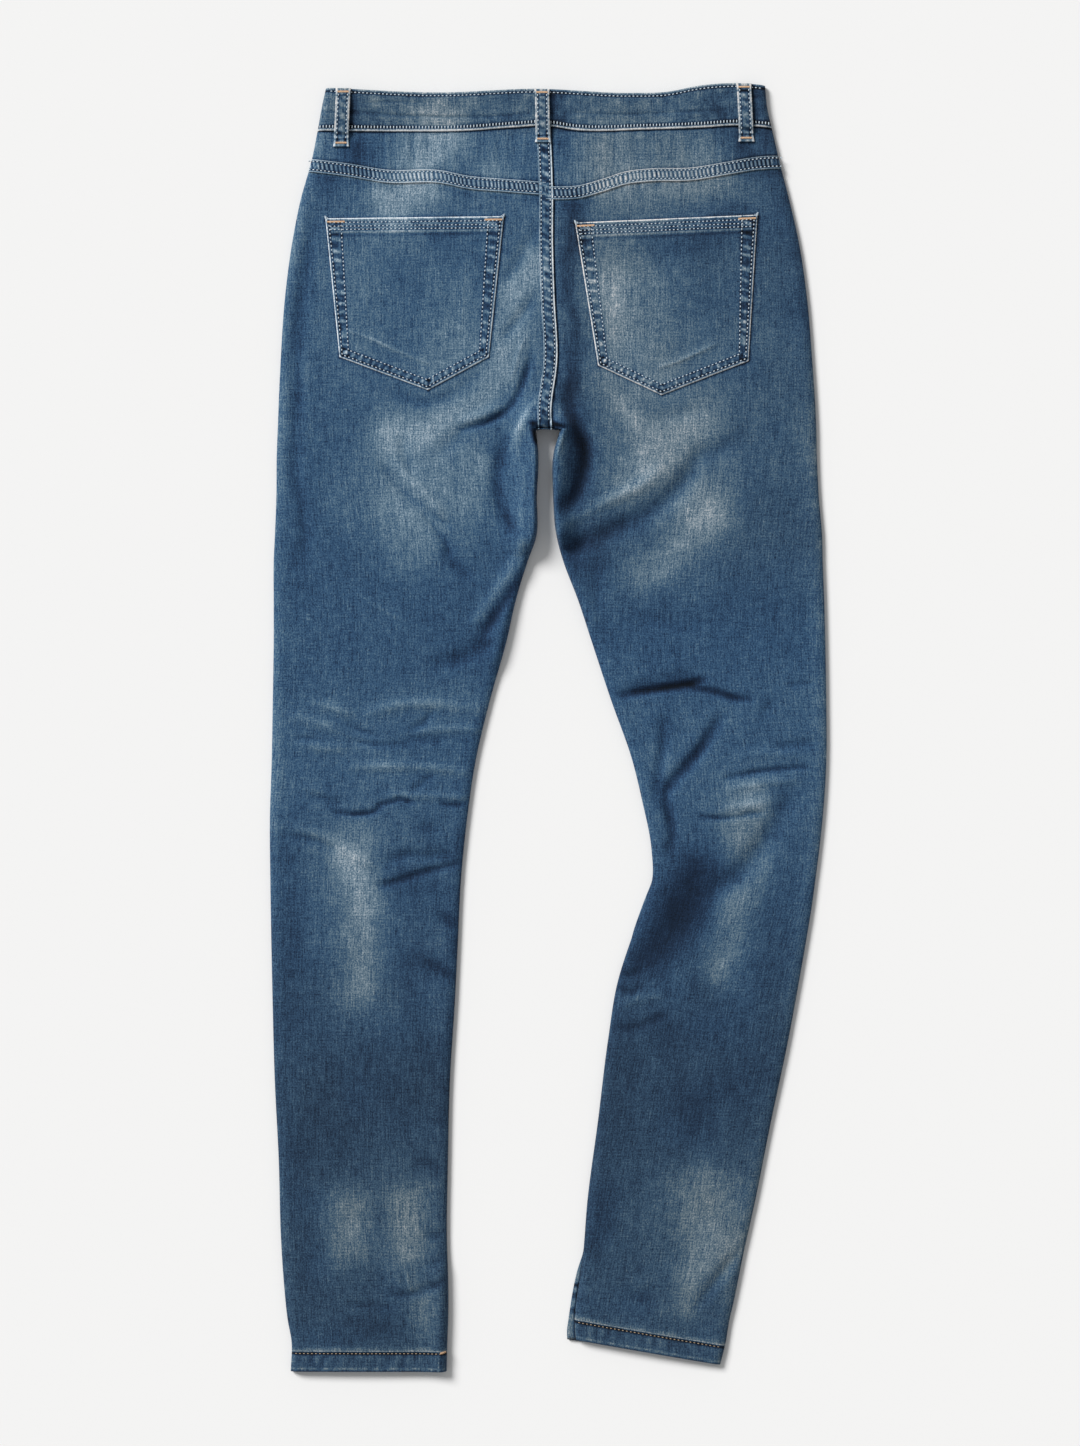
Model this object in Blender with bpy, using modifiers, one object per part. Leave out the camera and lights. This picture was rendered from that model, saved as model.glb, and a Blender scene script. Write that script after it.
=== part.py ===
"""Slim five-pocket jeans, laid flat with the back up and the waist toward +Y.

Metres, +Z up. The front lies flat on z = 0 and the back lies on it, in walls of cloth with a
thin space between them. Sizes below are in millimetres, in the object's own frame: x across,
y along the garment, z up. The wearer's left leg is on the -X side.
"""
import bpy
import bmesh
import numpy as np
from collections import namedtuple

MM = 0.001

# Cloth walls and the gap between pieces
CLOTH = 1.2
BAND_CLOTH = 2.2
HEM_CLOTH = 1.8
SEAM_CLOTH = 1.0
LOOP_CLOTH = 1.8
GAP = 0.3

# How the back lies over the front
EDGE_TOP = CLOTH + GAP + CLOTH
LOFT = 2.5
DOME = 0.8
DOME_BLEND = 90.0
ROLL = 8.0
EDGE_STEPS = (0.0, 2.0, 6.0)
FLOOR_INSET = 1.5

# The waistband and the hems are closed bands, round-edged where they fold
BAND_RAISE = 1.6
BAND_SIDE = 3.0
HEM_RAISE = 0.6
HEM_SIDE = 2.6
BAND_ROLL = 5.0

# Trims on the back
POCKET_BAND = 12.0
POCKET_BAND_RAISE = 0.5
SEAT_SEAM_WIDTH = 12.0
YOKE_SEAM_WIDTH = 11.0
LOOP_WIDTH = 12.5
LOOP_ARCH = 1.0
HEM_LENGTH = 18.0
BUTTON_WIDTH = 17.0
BUTTON_DEPTH = 2.0
BUTTON_BEVEL = 0.4
BUTTON_PLACE = (-2.0, 531.0)

# Where the legs part, and the centre line of the front
CROTCH = 256.5
CROTCH_LOW = 256.0
CROTCH_HIGH = 257.0
CENTRE_FRONT = -3.0
FRONT_TOP = 511.0

Seat = namedtuple("Seat", "y left seam right")
SEAT = (
    Seat(553, -190.5, -4.7, 186.0),
    Seat(533, -194.8, -4.5, 187.9),
    Seat(514, -198.2, -4.2, 192.2),
    Seat(488, -203.4, -3.0, 198.2),
    Seat(454, -212.9, -2.0, 206.8),
    Seat(420, -219.7, -2.1, 214.6),
    Seat(368, -226.6, -0.6, 222.3),
    Seat(316, -230.1, 1.7, 226.6),
    Seat(272, -232.1, -3.4, 229.5),
    Seat(257, -232.6, -3.0, 230.1),
)

Leg = namedtuple("Leg", "y side inseam")
LEFT_LEG = (
    Leg(256, -232.7, -10.8),
    Leg(235, -233.5, -8.6),
    Leg(200, -233.8, -9.9),
    Leg(163, -235.2, -10.8),
    Leg(144, -236.1, -17.6),
    Leg(110, -236.1, -28.0),
    Leg(76, -236.1, -35.7),
    Leg(24, -236.9, -50.3),
    Leg(-27, -237.8, -62.4),
    Leg(-79, -239.4, -70.1),
    Leg(-131, -239.0, -75.3),
    Leg(-182, -238.2, -77.8),
    Leg(-234, -237.1, -80.4),
    Leg(-303, -235.2, -84.7),
    Leg(-371, -231.8, -86.4),
    Leg(-440, -229.8, -87.3),
    Leg(-475, -227.5, -86.2),
    Leg(-509, -224.0, -86.2),
    Leg(-527, -220.8, -86.9),
    Leg(-553, -221.5, -87.5),
)
RIGHT_LEG = (
    Leg(256, 230.2, 9.9),
    Leg(238, 230.5, 4.7),
    Leg(200, 232.2, 3.9),
    Leg(163, 235.2, 7.3),
    Leg(144, 235.6, 12.5),
    Leg(110, 236.9, 25.4),
    Leg(76, 237.8, 36.6),
    Leg(24, 238.7, 53.8),
    Leg(-27, 238.8, 71.8),
    Leg(-62, 236.9, 80.4),
    Leg(-105, 232.6, 88.6),
    Leg(-131, 229.2, 89.0),
    Leg(-148, 227.0, 83.9),
    Leg(-182, 221.5, 71.0),
    Leg(-217, 215.4, 59.8),
    Leg(-268, 206.0, 51.2),
    Leg(-337, 191.4, 42.6),
    Leg(-406, 177.6, 33.5),
    Leg(-457, 166.4, 29.2),
    Leg(-493, 159.1, 23.9),
    Leg(-508, 155.6, 22.4),
    Leg(-530, 151.8, 23.7),
    Leg(-547, 147.5, 24.0),
)

# The right leg's front shows beside its back above the hem, because the leg has turned a little
Strip = namedtuple("Strip", "y beyond")
FRONT_STRIP = (Strip(-452, 0.0), Strip(-470, 2.5), Strip(-490, 3.5), Strip(-510, 5.0), Strip(-530, 7.5))
HEM_STRIP = 4.5

# Seam lines across the garment: the waistband's two edges and the yoke seams
Line = namedtuple("Line", "x y")
BAND_TOP = (
    Line(-192, 549.5), Line(-91, 545.2), Line(-11, 548.3), Line(69, 544.8),
    Line(100, 545.6), Line(131, 551.3), Line(161, 553.4), Line(187, 551.5),
)
BAND_BOTTOM = (
    Line(-198, 512.6), Line(-122, 511.7), Line(-75, 512.1), Line(-30, 515.1), Line(-3, 516.5),
    Line(24, 512.8), Line(85, 513.4), Line(131, 515.1), Line(163, 517.0), Line(192, 515.1),
)
YOKE_SEAM_LEFT = (
    Line(-205, 482.9), Line(-171, 478.6), Line(-140, 473.4), Line(-91, 472.6),
    Line(-71, 468.4), Line(-37, 465.3), Line(-3, 462.6),
)
YOKE_SEAM_RIGHT = (
    Line(-3, 458.8), Line(27, 460.1), Line(46, 465.3), Line(66, 471.7), Line(87, 474.3),
    Line(122, 475.2), Line(154, 480.3), Line(177, 484.2), Line(202, 485.9),
)

# Rows of a leg panel: how far apart they are, and how they lean along the turned right leg
ROW_STEP_FINE = 9.5
ROW_STEP_COARSE = 21.0
FINE_FROM = 256.0
FINE_TO = -140.0
HEM_LEAN = -0.173
LEAN_FROM = -140.0
LEFT_HEM_LINE = -534.5
RIGHT_HEM_LINE = -507.4
SEAM_FADE = 100.0

# Folds of the back: a route, how wide the fold is, and how high (a furrow is below zero)
Fold = namedtuple("Fold", "width height route")
FOLDS = (
    Fold(9, -1.0, ((-77, 255), (-50, 268), (-27, 276))),
    Fold(11, -1.0, ((-144, 229), (-104, 184), (-67, 133))),
    Fold(9, -1.4, ((-46, 250), (-40, 184))),
    Fold(9, 1.0, ((-24, 250), (-24, 150))),
    Fold(10, 1.2, ((-30, 125), (-65, 77))),
    Fold(14, -0.8, ((-208, 420), (-211, 136))),
    Fold(15, -1.5, ((22, 156), (67, 186), (124, 220), (151, 242))),
    Fold(10, -1.5, ((20, 300), (36, 225), (20, 181))),
    Fold(9, 1.0, ((-148, -34), (-82, -38))),
    Fold(9, 0.9, ((-129, 19), (-70, 17))),
    Fold(9, 0.8, ((-213, -14), (-168, -16))),
    Fold(9, -1.3, ((-142, -134), (-120, -128), (-84, -112))),
    Fold(9, -1.0, ((-220, -89), (-177, -104))),
    Fold(9, -0.8, ((-183, -72), (-132, -66))),
    Fold(9, -1.5, ((66, 28), (99, 34), (134, 40))),
    Fold(9, -1.0, ((125, 33), (174, 23))),
    Fold(10, -1.4, ((150, 7), (127, -22), (102, -52), (104, -67), (109, -107))),
    Fold(9, 0.9, ((153, -43), (213, -34))),
    Fold(16, -1.5, ((211, -57), (191, -110), (127, -124))),
    Fold(10, 1.2, ((167, -452), (133, -494))),
)

# Patch pockets: corners and the point of the lower edge
Pocket = namedtuple("Pocket", "name left_top right_top right_low tip left_low")
POCKETS = (
    Pocket("left", (-191.4, 439.5), (-38.3, 439.5), (-51.2, 318.2), (-103.6, 289.8), (-179.3, 318.2)),
    Pocket("right", (22.8, 433.4), (179.3, 440.3), (171.6, 314.8), (96.8, 285.5), (42.6, 310.9)),
)

# Belt loops: centre of the upper and of the lower end, and what lies under the lower end
Loop = namedtuple("Loop", "name top bottom under")
LOOPS = (
    Loop("left", (-175.9, 548.6), (-178.0, 498.8), 0.0),
    Loop("centre", (-5.6, 547.6), (-4.7, 502.2), SEAM_CLOTH + GAP),
    Loop("right", (167.5, 552.6), (169.9, 503.1), 0.0),
)

# Colours, linear, with roughness and metallic value
Finish = namedtuple("Finish", "colour roughness metallic")
DENIM = Finish((0.055, 0.135, 0.26), 0.9, 0.0)
WORN_DENIM = Finish((0.14, 0.24, 0.36), 0.9, 0.0)
BRASS = Finish((0.55, 0.38, 0.18), 0.35, 1.0)


def through(places, values):
    """A smooth curve through points, as a function that gives the value at a place."""
    order = np.argsort(places)
    x = np.array(places, float)[order]
    y = np.array(values, float)[order]
    slope = np.gradient(y, x)

    def value(at):
        at = np.clip(at, x[0], x[-1])
        i = np.clip(np.searchsorted(x, at, side="right") - 1, 0, len(x) - 2)
        span = x[i + 1] - x[i]
        t = (at - x[i]) / span
        start = y[i] + t * t * (3 - 2 * t) * (y[i + 1] - y[i])
        bend = t * (1 - t) ** 2 * slope[i] - t * t * (1 - t) * slope[i + 1]
        return start + bend * span

    return value


def column(rows, place, value):
    """A smooth curve from two named columns of a table."""
    return through([getattr(r, place) for r in rows], [getattr(r, value) for r in rows])


left_side = column(SEAT, "y", "left")
right_side = column(SEAT, "y", "right")
seat_seam_x = column(SEAT, "y", "seam")
left_leg_side = column(LEFT_LEG, "y", "side")
left_inseam = column(LEFT_LEG, "y", "inseam")
right_leg_side = column(RIGHT_LEG, "y", "side")
right_inseam = column(RIGHT_LEG, "y", "inseam")
front_strip = column(FRONT_STRIP, "y", "beyond")
band_top = column(BAND_TOP, "x", "y")
band_bottom = column(BAND_BOTTOM, "x", "y")
yoke_seam_left = column(YOKE_SEAM_LEFT, "x", "y")
yoke_seam_right = column(YOKE_SEAM_RIGHT, "x", "y")


def smooth_step(value, start, end):
    t = np.clip((value - start) / (end - start), 0.0, 1.0)
    return t * t * (3 - 2 * t)


def rounded(distance, roll):
    """A quarter round that rises from 0 at an edge to 1 at the roll's width."""
    t = np.clip(distance / roll, 0.0, 1.0)
    return np.sqrt(1 - (1 - t) ** 2)


def side_at(y, on_left):
    """The outer edge at a height, on either side."""
    if on_left:
        return np.where(y > CROTCH, left_side(y), left_leg_side(y))
    return np.where(y > CROTCH, right_side(y), right_leg_side(y))


def inner_at(y, on_left):
    """The seat seam above the crotch, and the leg's inner edge below it."""
    leg = left_inseam(y) if on_left else right_inseam(y)
    return np.where(y > CROTCH, seat_seam_x(y), leg)


def edge_distance(x, y):
    """How far a point of the back is from the nearest edge."""
    on_left = x < seat_seam_x(np.maximum(y, CROTCH_HIGH))
    side = np.where(on_left, side_at(y, True), side_at(y, False))
    leg_inner = np.where(on_left, left_inseam(y), right_inseam(y))
    gap_inner = np.where(on_left, left_inseam(CROTCH_LOW), right_inseam(CROTCH_LOW))
    past_gap = np.where(on_left, gap_inner - x, x - gap_inner)
    above = np.hypot(np.maximum(past_gap, 0.0), y - CROTCH)
    inner = np.where(y > CROTCH, above, np.abs(x - leg_inner))
    return np.minimum(np.abs(x - side), inner)


def arch(x, start, end):
    """A low arch from 0 at both ends to 1 midway."""
    across = np.clip((x - start) / (end - start), 0.0, 1.0)
    return 4 * across * (1 - across)


def dome(x, y):
    """The slight dome of the back: one over the seat, which turns into one over each leg."""
    on_left = x < seat_seam_x(np.maximum(y, CROTCH_HIGH))
    left_leg = arch(x, side_at(y, True), inner_at(y, True))
    right_leg = arch(x, inner_at(y, False), side_at(y, False))
    seat = arch(x, side_at(y, True), side_at(y, False))
    share = smooth_step(y, CROTCH, CROTCH + DOME_BLEND)
    return share * seat + (1 - share) * np.where(on_left, left_leg, right_leg)


def fold_height(x, y):
    """The sum of all folds at a point: each is a soft furrow or ridge along its route."""
    total = np.zeros(np.broadcast(x, y).shape)
    for fold in FOLDS:
        nearest = np.full(total.shape, np.inf)
        for (ax, ay), (bx, by) in zip(fold.route, fold.route[1:]):
            length = (bx - ax) ** 2 + (by - ay) ** 2
            along = np.clip(((x - ax) * (bx - ax) + (y - ay) * (by - ay)) / length, 0, 1)
            gap = np.hypot(x - ax - along * (bx - ax), y - ay - along * (by - ay))
            nearest = np.minimum(nearest, gap)
        total = total + fold.height * np.exp(-((nearest / fold.width) ** 2))
    return total


def back_height(x, y):
    """The height of the back's upper face: rolled edges, a slight dome and the folds."""
    roll = rounded(edge_distance(x, y), ROLL)
    return EDGE_TOP + LOFT * roll + roll ** 2 * (DOME * dome(x, y) + fold_height(x, y))


def laid_on(x, y, out):
    """Heights moved out from the back by a distance, measured square to the cloth."""
    step = EDGE_STEPS[1]
    inward = np.where(edge_distance(x + step, y) > edge_distance(x - step, y), step, -step)
    slope_x = (back_height(x + inward, y) - back_height(x, y)) / step
    slope_y = (back_height(x, y + step) - back_height(x, y - step)) / (2 * step)
    return back_height(x, y) + out * np.sqrt(1 + slope_x ** 2 + slope_y ** 2)


def band_height(x, y):
    """The height of the waistband's upper face."""
    distance = np.minimum(x - left_side(y), right_side(y) - x)
    top = EDGE_TOP + LOFT + BAND_RAISE + DOME * arch(x, left_side(y), right_side(y))
    return BAND_SIDE + (top - BAND_SIDE) * rounded(distance, BAND_ROLL)


def stations(start, end, cells, steps=EDGE_STEPS):
    """Places across a piece: close together at both edges and even between them."""
    way = np.sign(end - start)
    near = [start + way * s for s in steps]
    far = [end - way * s for s in reversed(steps)]
    middle = np.linspace(near[-1], far[0], cells + 1)[1:-1]
    return np.concatenate([near, middle, far])


def material(name, finish):
    made = bpy.data.materials.get(name) or bpy.data.materials.new(name)
    made.use_nodes = True
    shader = made.node_tree.nodes["Principled BSDF"]
    shader.inputs["Base Color"].default_value = (*finish.colour, 1.0)
    shader.inputs["Roughness"].default_value = finish.roughness
    shader.inputs["Metallic"].default_value = finish.metallic
    return made


def add_object(name, bm, finish, collection):
    """Makes a mesh object from millimetre points."""
    bmesh.ops.scale(bm, vec=(MM, MM, MM), verts=bm.verts)
    mesh = bpy.data.meshes.new(name)
    bm.to_mesh(mesh)
    bm.free()
    obj = bpy.data.objects.new(name, mesh)
    collection.objects.link(obj)
    obj.data.materials.append(material(name, finish))
    mesh.shade_smooth()
    return obj


def add_sheet(name, rows, wall, finish, collection):
    """A wall of cloth. Rows run from the waist down, each a list of (x, y, z) from left to right."""
    bm = bmesh.new()
    grid = [[bm.verts.new(point) for point in row] for row in rows]
    for upper, lower in zip(grid, grid[1:]):
        for c in range(len(upper) - 1):
            bm.faces.new((upper[c], lower[c], lower[c + 1], upper[c + 1]))
    sheet = add_object(name, bm, finish, collection)
    solidify = sheet.modifiers.new("cloth", "SOLIDIFY")
    solidify.thickness = wall * MM
    solidify.offset = -1.0
    return sheet


def add_ring(name, outer, inner, finish, collection):
    """A closed band: outer and inner loops of (x, y, z), one pair for each row."""
    bm = bmesh.new()
    outside = [[bm.verts.new(point) for point in loop] for loop in outer]
    inside = [[bm.verts.new(point) for point in loop] for loop in inner]
    count = len(outside[0])
    for k in range(count):
        n = (k + 1) % count
        for a, b in zip(outside, outside[1:]):
            bm.faces.new((a[k], b[k], b[n], a[n]))
        for a, b in zip(inside, inside[1:]):
            bm.faces.new((a[n], b[n], b[k], a[k]))
        bm.faces.new((outside[0][n], inside[0][n], inside[0][k], outside[0][k]))
        bm.faces.new((outside[-1][k], inside[-1][k], inside[-1][n], outside[-1][n]))
    bmesh.ops.recalc_face_normals(bm, faces=bm.faces)
    return add_object(name, bm, finish, collection)


def leg_rows(on_left, top_line, hem_line, cells, steps, strip=0.0):
    """Rows of (x, y) across one leg panel, from the seam at its top to the hem line.

    The inner end of each row may reach past the inseam, by a share of the front's strip.
    """
    inner_places = [hem_line]
    place = hem_line
    while place < FINE_TO:
        place += ROW_STEP_COARSE
        inner_places.append(place)
    while place < FINE_FROM - ROW_STEP_FINE:
        place += ROW_STEP_FINE
        inner_places.append(place)
    inner_places[-1] = CROTCH_LOW
    seam_x = CENTRE_FRONT
    top = float(top_line(seam_x))
    seat_rows = int((top - CROTCH_HIGH) / ROW_STEP_COARSE)
    inner_places.extend(np.linspace(CROTCH_HIGH, top, seat_rows + 1))

    rows = []
    for y_inner in reversed(inner_places):
        gap = GAP / 2 if y_inner > CROTCH else 0.0
        x_inner = float(inner_at(y_inner, on_left)) + (-gap if on_left else gap)
        x_end = x_inner - strip * float(front_strip(y_inner))
        lean = 0.0 if on_left else HEM_LEAN * smooth_step(-y_inner, -LEAN_FROM, -hem_line)
        bow = smooth_step(y_inner, top - SEAM_FADE, top)

        def row_y(x):
            return y_inner + lean * (x - x_inner) + bow * (top_line(x) - top)

        x_side = float(side_at(y_inner, on_left))
        for _ in range(4):
            x_side = float(side_at(row_y(x_side), on_left))
        start, end = (x_side, x_end) if on_left else (x_end, x_side)
        x = stations(start, end, cells, steps)
        rows.append((x, row_y(x)))
    return rows


def points(x, y, z):
    return list(zip(np.broadcast_to(x, x.shape), np.broadcast_to(y, x.shape), np.broadcast_to(z, x.shape)))


def back_panel(name, on_left, collection):
    seam = yoke_seam_left if on_left else yoke_seam_right

    def top_line(x):
        return seam(x) - GAP / 2

    hem_line = LEFT_HEM_LINE if on_left else RIGHT_HEM_LINE
    rows = leg_rows(on_left, top_line, hem_line + GAP, 9, EDGE_STEPS)
    add_sheet(name, [points(x, y, back_height(x, y)) for x, y in rows], CLOTH, DENIM, collection)


def front_panel(name, on_left, collection):
    """The front lies flat on the floor. The right one reaches past the back above its hem."""
    def top_line(x):
        return FRONT_TOP + 0.0 * x

    hem_line = LEFT_HEM_LINE if on_left else RIGHT_HEM_LINE
    strip = 0.0 if on_left else 1.0
    rows = leg_rows(on_left, top_line, hem_line + GAP, 2, (0.0,), strip)
    add_sheet(name, [points(x, y, np.full(x.shape, CLOTH)) for x, y in rows], CLOTH, DENIM, collection)


def yoke(name, on_left, collection):
    seam = yoke_seam_left if on_left else yoke_seam_right
    rows = []
    for v in np.linspace(0.0, 1.0, 4):
        y_side = 500.0
        x_side = -200.0 if on_left else 200.0
        for _ in range(4):
            y_side = (1 - v) * (band_bottom(x_side) - GAP) + v * (seam(x_side) + GAP / 2)
            x_side = float(side_at(y_side, on_left))
        y_seam = (1 - v) * band_bottom(CENTRE_FRONT) + v * seam(CENTRE_FRONT)
        x_seam = float(seat_seam_x(y_seam)) + (-GAP / 2 if on_left else GAP / 2)
        start, end = (x_side, x_seam) if on_left else (x_seam, x_side)
        x = stations(start, end, 9)
        y = (1 - v) * (band_bottom(x) - GAP) + v * (seam(x) + GAP / 2)
        rows.append(points(x, y, back_height(x, y)))
    add_sheet(name, rows, CLOTH, DENIM, collection)


def ring_loops(top_x, row_y, height, wall):
    """One section of a closed band, outer and inner: over the top, then back along the floor."""
    left, right = top_x[0], top_x[-1]
    floor_x = top_x[::-1].copy()
    floor_x = np.clip(floor_x, left + FLOOR_INSET, right - FLOOR_INSET)[1:-1]
    outer = [(x, row_y(x), height(x, row_y(x))) for x in top_x]
    outer += [(x, row_y(x), 0.0) for x in floor_x]
    middle = (left + right) / 2
    shrink = ((right - left) / 2 - wall) / ((right - left) / 2)
    inner = []
    for k, x in enumerate(top_x):
        x_in = middle + (x - middle) * shrink
        ceiling = height(x_in, row_y(x_in)) - wall
        at_side = k in (0, len(top_x) - 1)
        inner.append((x_in, row_y(x_in), (ceiling + wall) / 2 if at_side else ceiling))
    for x in floor_x:
        x_in = middle + (x - middle) * shrink
        inner.append((x_in, row_y(x_in), wall))
    return outer, inner


def waistband(collection, cutters):
    """One strip all round, with a hole in its front for the button."""
    outer, inner = [], []
    for v in np.linspace(0.0, 1.0, 4):
        def row_y(x):
            return (1 - v) * band_top(x) + v * band_bottom(x)

        left = float(left_side(row_y(-195.0)))
        right = float(right_side(row_y(190.0)))
        seam = float(seat_seam_x(row_y(CENTRE_FRONT)))
        top_x = np.concatenate([stations(left, seam, 9), stations(seam, right, 9)[1:]])
        loops = ring_loops(top_x, row_y, band_height, BAND_CLOTH)
        outer.append(loops[0])
        inner.append(loops[1])
    band = add_ring("waistband", outer, inner, DENIM, collection)

    hole_depth = BAND_CLOTH + 2.0
    cutter = add_disc("button_hole", BUTTON_WIDTH + 2 * GAP, hole_depth, -1.0, DENIM, cutters)
    cutter.hide_render = True
    cutter.display_type = "WIRE"
    cut = band.modifiers.new("button_hole", "BOOLEAN")
    cut.operation = "DIFFERENCE"
    cut.object = cutter


def add_disc(name, width, depth, floor, finish, collection):
    bm = bmesh.new()
    bmesh.ops.create_cone(
        bm, cap_ends=True, segments=24, radius1=width / 2, radius2=width / 2, depth=depth
    )
    bmesh.ops.translate(bm, vec=(*BUTTON_PLACE, floor + depth / 2), verts=bm.verts)
    return add_object(name, bm, finish, collection)


def button(collection):
    disc = add_disc("button", BUTTON_WIDTH, BUTTON_DEPTH, 0.0, BRASS, collection)
    bevel = disc.modifiers.new("edge", "BEVEL")
    bevel.width = BUTTON_BEVEL * MM
    bevel.segments = 2
    bevel.limit_method = "ANGLE"


def hem(name, on_left, collection):
    """The turned edge of a leg, all round. The right one slants with its leg."""
    line = LEFT_HEM_LINE if on_left else RIGHT_HEM_LINE
    lean = 0.0 if on_left else HEM_LEAN
    outer, inner = [], []
    for down in np.linspace(0.0, HEM_LENGTH, 3):
        y_inner = line - down
        x_inner = float(inner_at(y_inner, on_left))
        strip = 0.0 if on_left else HEM_STRIP

        def row_y(x):
            return y_inner + lean * (x - x_inner)

        x_side = float(side_at(y_inner, on_left))
        for _ in range(4):
            x_side = float(side_at(row_y(x_side), on_left))
        left, right = (x_side, x_inner) if on_left else (x_inner - strip, x_side)

        def height(x, y):
            distance = np.minimum(x - left, right - x)
            top = EDGE_TOP + LOFT + HEM_RAISE + DOME * arch(x, left, right)
            return HEM_SIDE + (top - HEM_SIDE) * rounded(distance, BAND_ROLL)

        loops = ring_loops(stations(left, right, 9), row_y, height, HEM_CLOTH)
        outer.append(loops[0])
        inner.append(loops[1])
    add_ring(name, outer, inner, DENIM, collection)


def patch_pocket(pocket, collection):
    """A five-sided patch on the back, with a thicker turned band along its mouth."""
    left_top, right_top = np.array(pocket.left_top), np.array(pocket.right_top)
    left_low, right_low = np.array(pocket.left_low), np.array(pocket.right_low)
    tip = np.array(pocket.tip)
    tip_share = (tip[0] - left_low[0]) / (right_low[0] - left_low[0])
    shares = np.concatenate([np.linspace(0, tip_share, 6), np.linspace(tip_share, 1, 6)[1:]])
    depth = left_top[1] - left_low[1]
    band = POCKET_BAND / depth
    rows = []
    for v in (0.0, band * 0.96, band * 1.04, 0.25, 0.45, 0.65, 0.85, 1.0):
        row = []
        for u in shares:
            top = left_top + u * (right_top - left_top)
            if u <= tip_share:
                low = left_low + (u / tip_share) * (tip - left_low)
            else:
                low = tip + (u - tip_share) / (1 - tip_share) * (right_low - tip)
            row.append(top + v * (low - top))
        x, y = np.array(row).T
        raised = POCKET_BAND_RAISE if v < band else 0.0
        rows.append(points(x, y, laid_on(x, y, GAP + CLOTH) + raised))
    add_sheet(f"pocket_{pocket.name}", rows, CLOTH, DENIM, collection)


def belt_loop(loop, collection):
    """A folded strip over the waistband: tacked at both ends, a little arched between them."""
    (top_x, top_y), (low_x, low_y) = loop.top, loop.bottom
    band_end = float(band_bottom(top_x))
    heights = [top_y, top_y - 5, (top_y + band_end) / 2, band_end + 3, band_end - 2, low_y + 4, low_y]
    rows = []
    for k, y in enumerate(heights):
        share = (top_y - y) / (top_y - low_y)
        middle = top_x + share * (low_x - top_x)
        x = middle + LOOP_WIDTH * np.array([-0.5, 0.0, 0.5])
        over_band = k < len(heights) - 2
        base = band_height(x, max(y, band_end)) if over_band else back_height(x, y) + loop.under
        lifted = LOOP_ARCH * np.sin(np.pi * share)
        rows.append(points(x, np.full(x.shape, y), base + GAP + LOOP_CLOTH + lifted))
    add_sheet(f"belt_loop_{loop.name}", rows, LOOP_CLOTH, DENIM, collection)


def seat_seam(collection):
    """The felled seam down the middle of the seat, from the waistband to the crotch."""
    start = float(band_bottom(CENTRE_FRONT)) - 2 * GAP
    rows = []
    for y in np.linspace(start, CROTCH_HIGH, 22):
        x = float(seat_seam_x(y)) + SEAT_SEAM_WIDTH * np.array([-0.5, 0.0, 0.5])
        y = np.full(x.shape, y)
        rows.append(points(x, y, laid_on(x, y, GAP + SEAM_CLOTH)))
    add_sheet("seat_seam", rows, SEAM_CLOTH, WORN_DENIM, collection)


def yoke_seam(name, on_left, collection):
    """The felled seam between a yoke and the panel below it, from the side to the seat seam."""
    seam = yoke_seam_left if on_left else yoke_seam_right
    rows = []
    for out in (0.5, 0.0, -0.5):
        offset = out * YOKE_SEAM_WIDTH
        x_side = float(side_at(484.0 + offset, on_left))
        for _ in range(4):
            x_side = float(side_at(seam(x_side) + offset, on_left))
        reach = SEAT_SEAM_WIDTH / 2 + GAP
        x_seam = float(seat_seam_x(seam(CENTRE_FRONT) + offset)) + (-reach if on_left else reach)
        start, end = (x_side, x_seam) if on_left else (x_seam, x_side)
        x = stations(start, end, 9)
        y = seam(x) + offset
        rows.append(points(x, y, laid_on(x, y, GAP + SEAM_CLOTH)))
    add_sheet(name, rows, SEAM_CLOTH, WORN_DENIM, collection)


def main():
    for obj in list(bpy.data.objects):
        bpy.data.objects.remove(obj, do_unlink=True)
    jeans = bpy.data.collections.new("jeans")
    cutters = bpy.data.collections.new("cutters")
    bpy.context.scene.collection.children.link(jeans)
    bpy.context.scene.collection.children.link(cutters)

    for side, on_left in (("left", True), ("right", False)):
        front_panel(f"front_{side}", on_left, jeans)
        back_panel(f"back_{side}", on_left, jeans)
        yoke(f"yoke_{side}", on_left, jeans)
        yoke_seam(f"yoke_seam_{side}", on_left, jeans)
        hem(f"hem_{side}", on_left, jeans)
    seat_seam(jeans)
    for pocket in POCKETS:
        patch_pocket(pocket, jeans)
    waistband(jeans, cutters)
    button(jeans)
    for loop in LOOPS:
        belt_loop(loop, jeans)


main()
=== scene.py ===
"""Looks of slim washed stretch jeans, laid flat with the back up and the waist toward +Y.

Sizes in the tables are millimetres in the part's own frame: x across, y toward the waist, z up.
Every piece of cloth is a fine shell on its solid's form, with creases placed one by one.
"""

from collections import namedtuple

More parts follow.
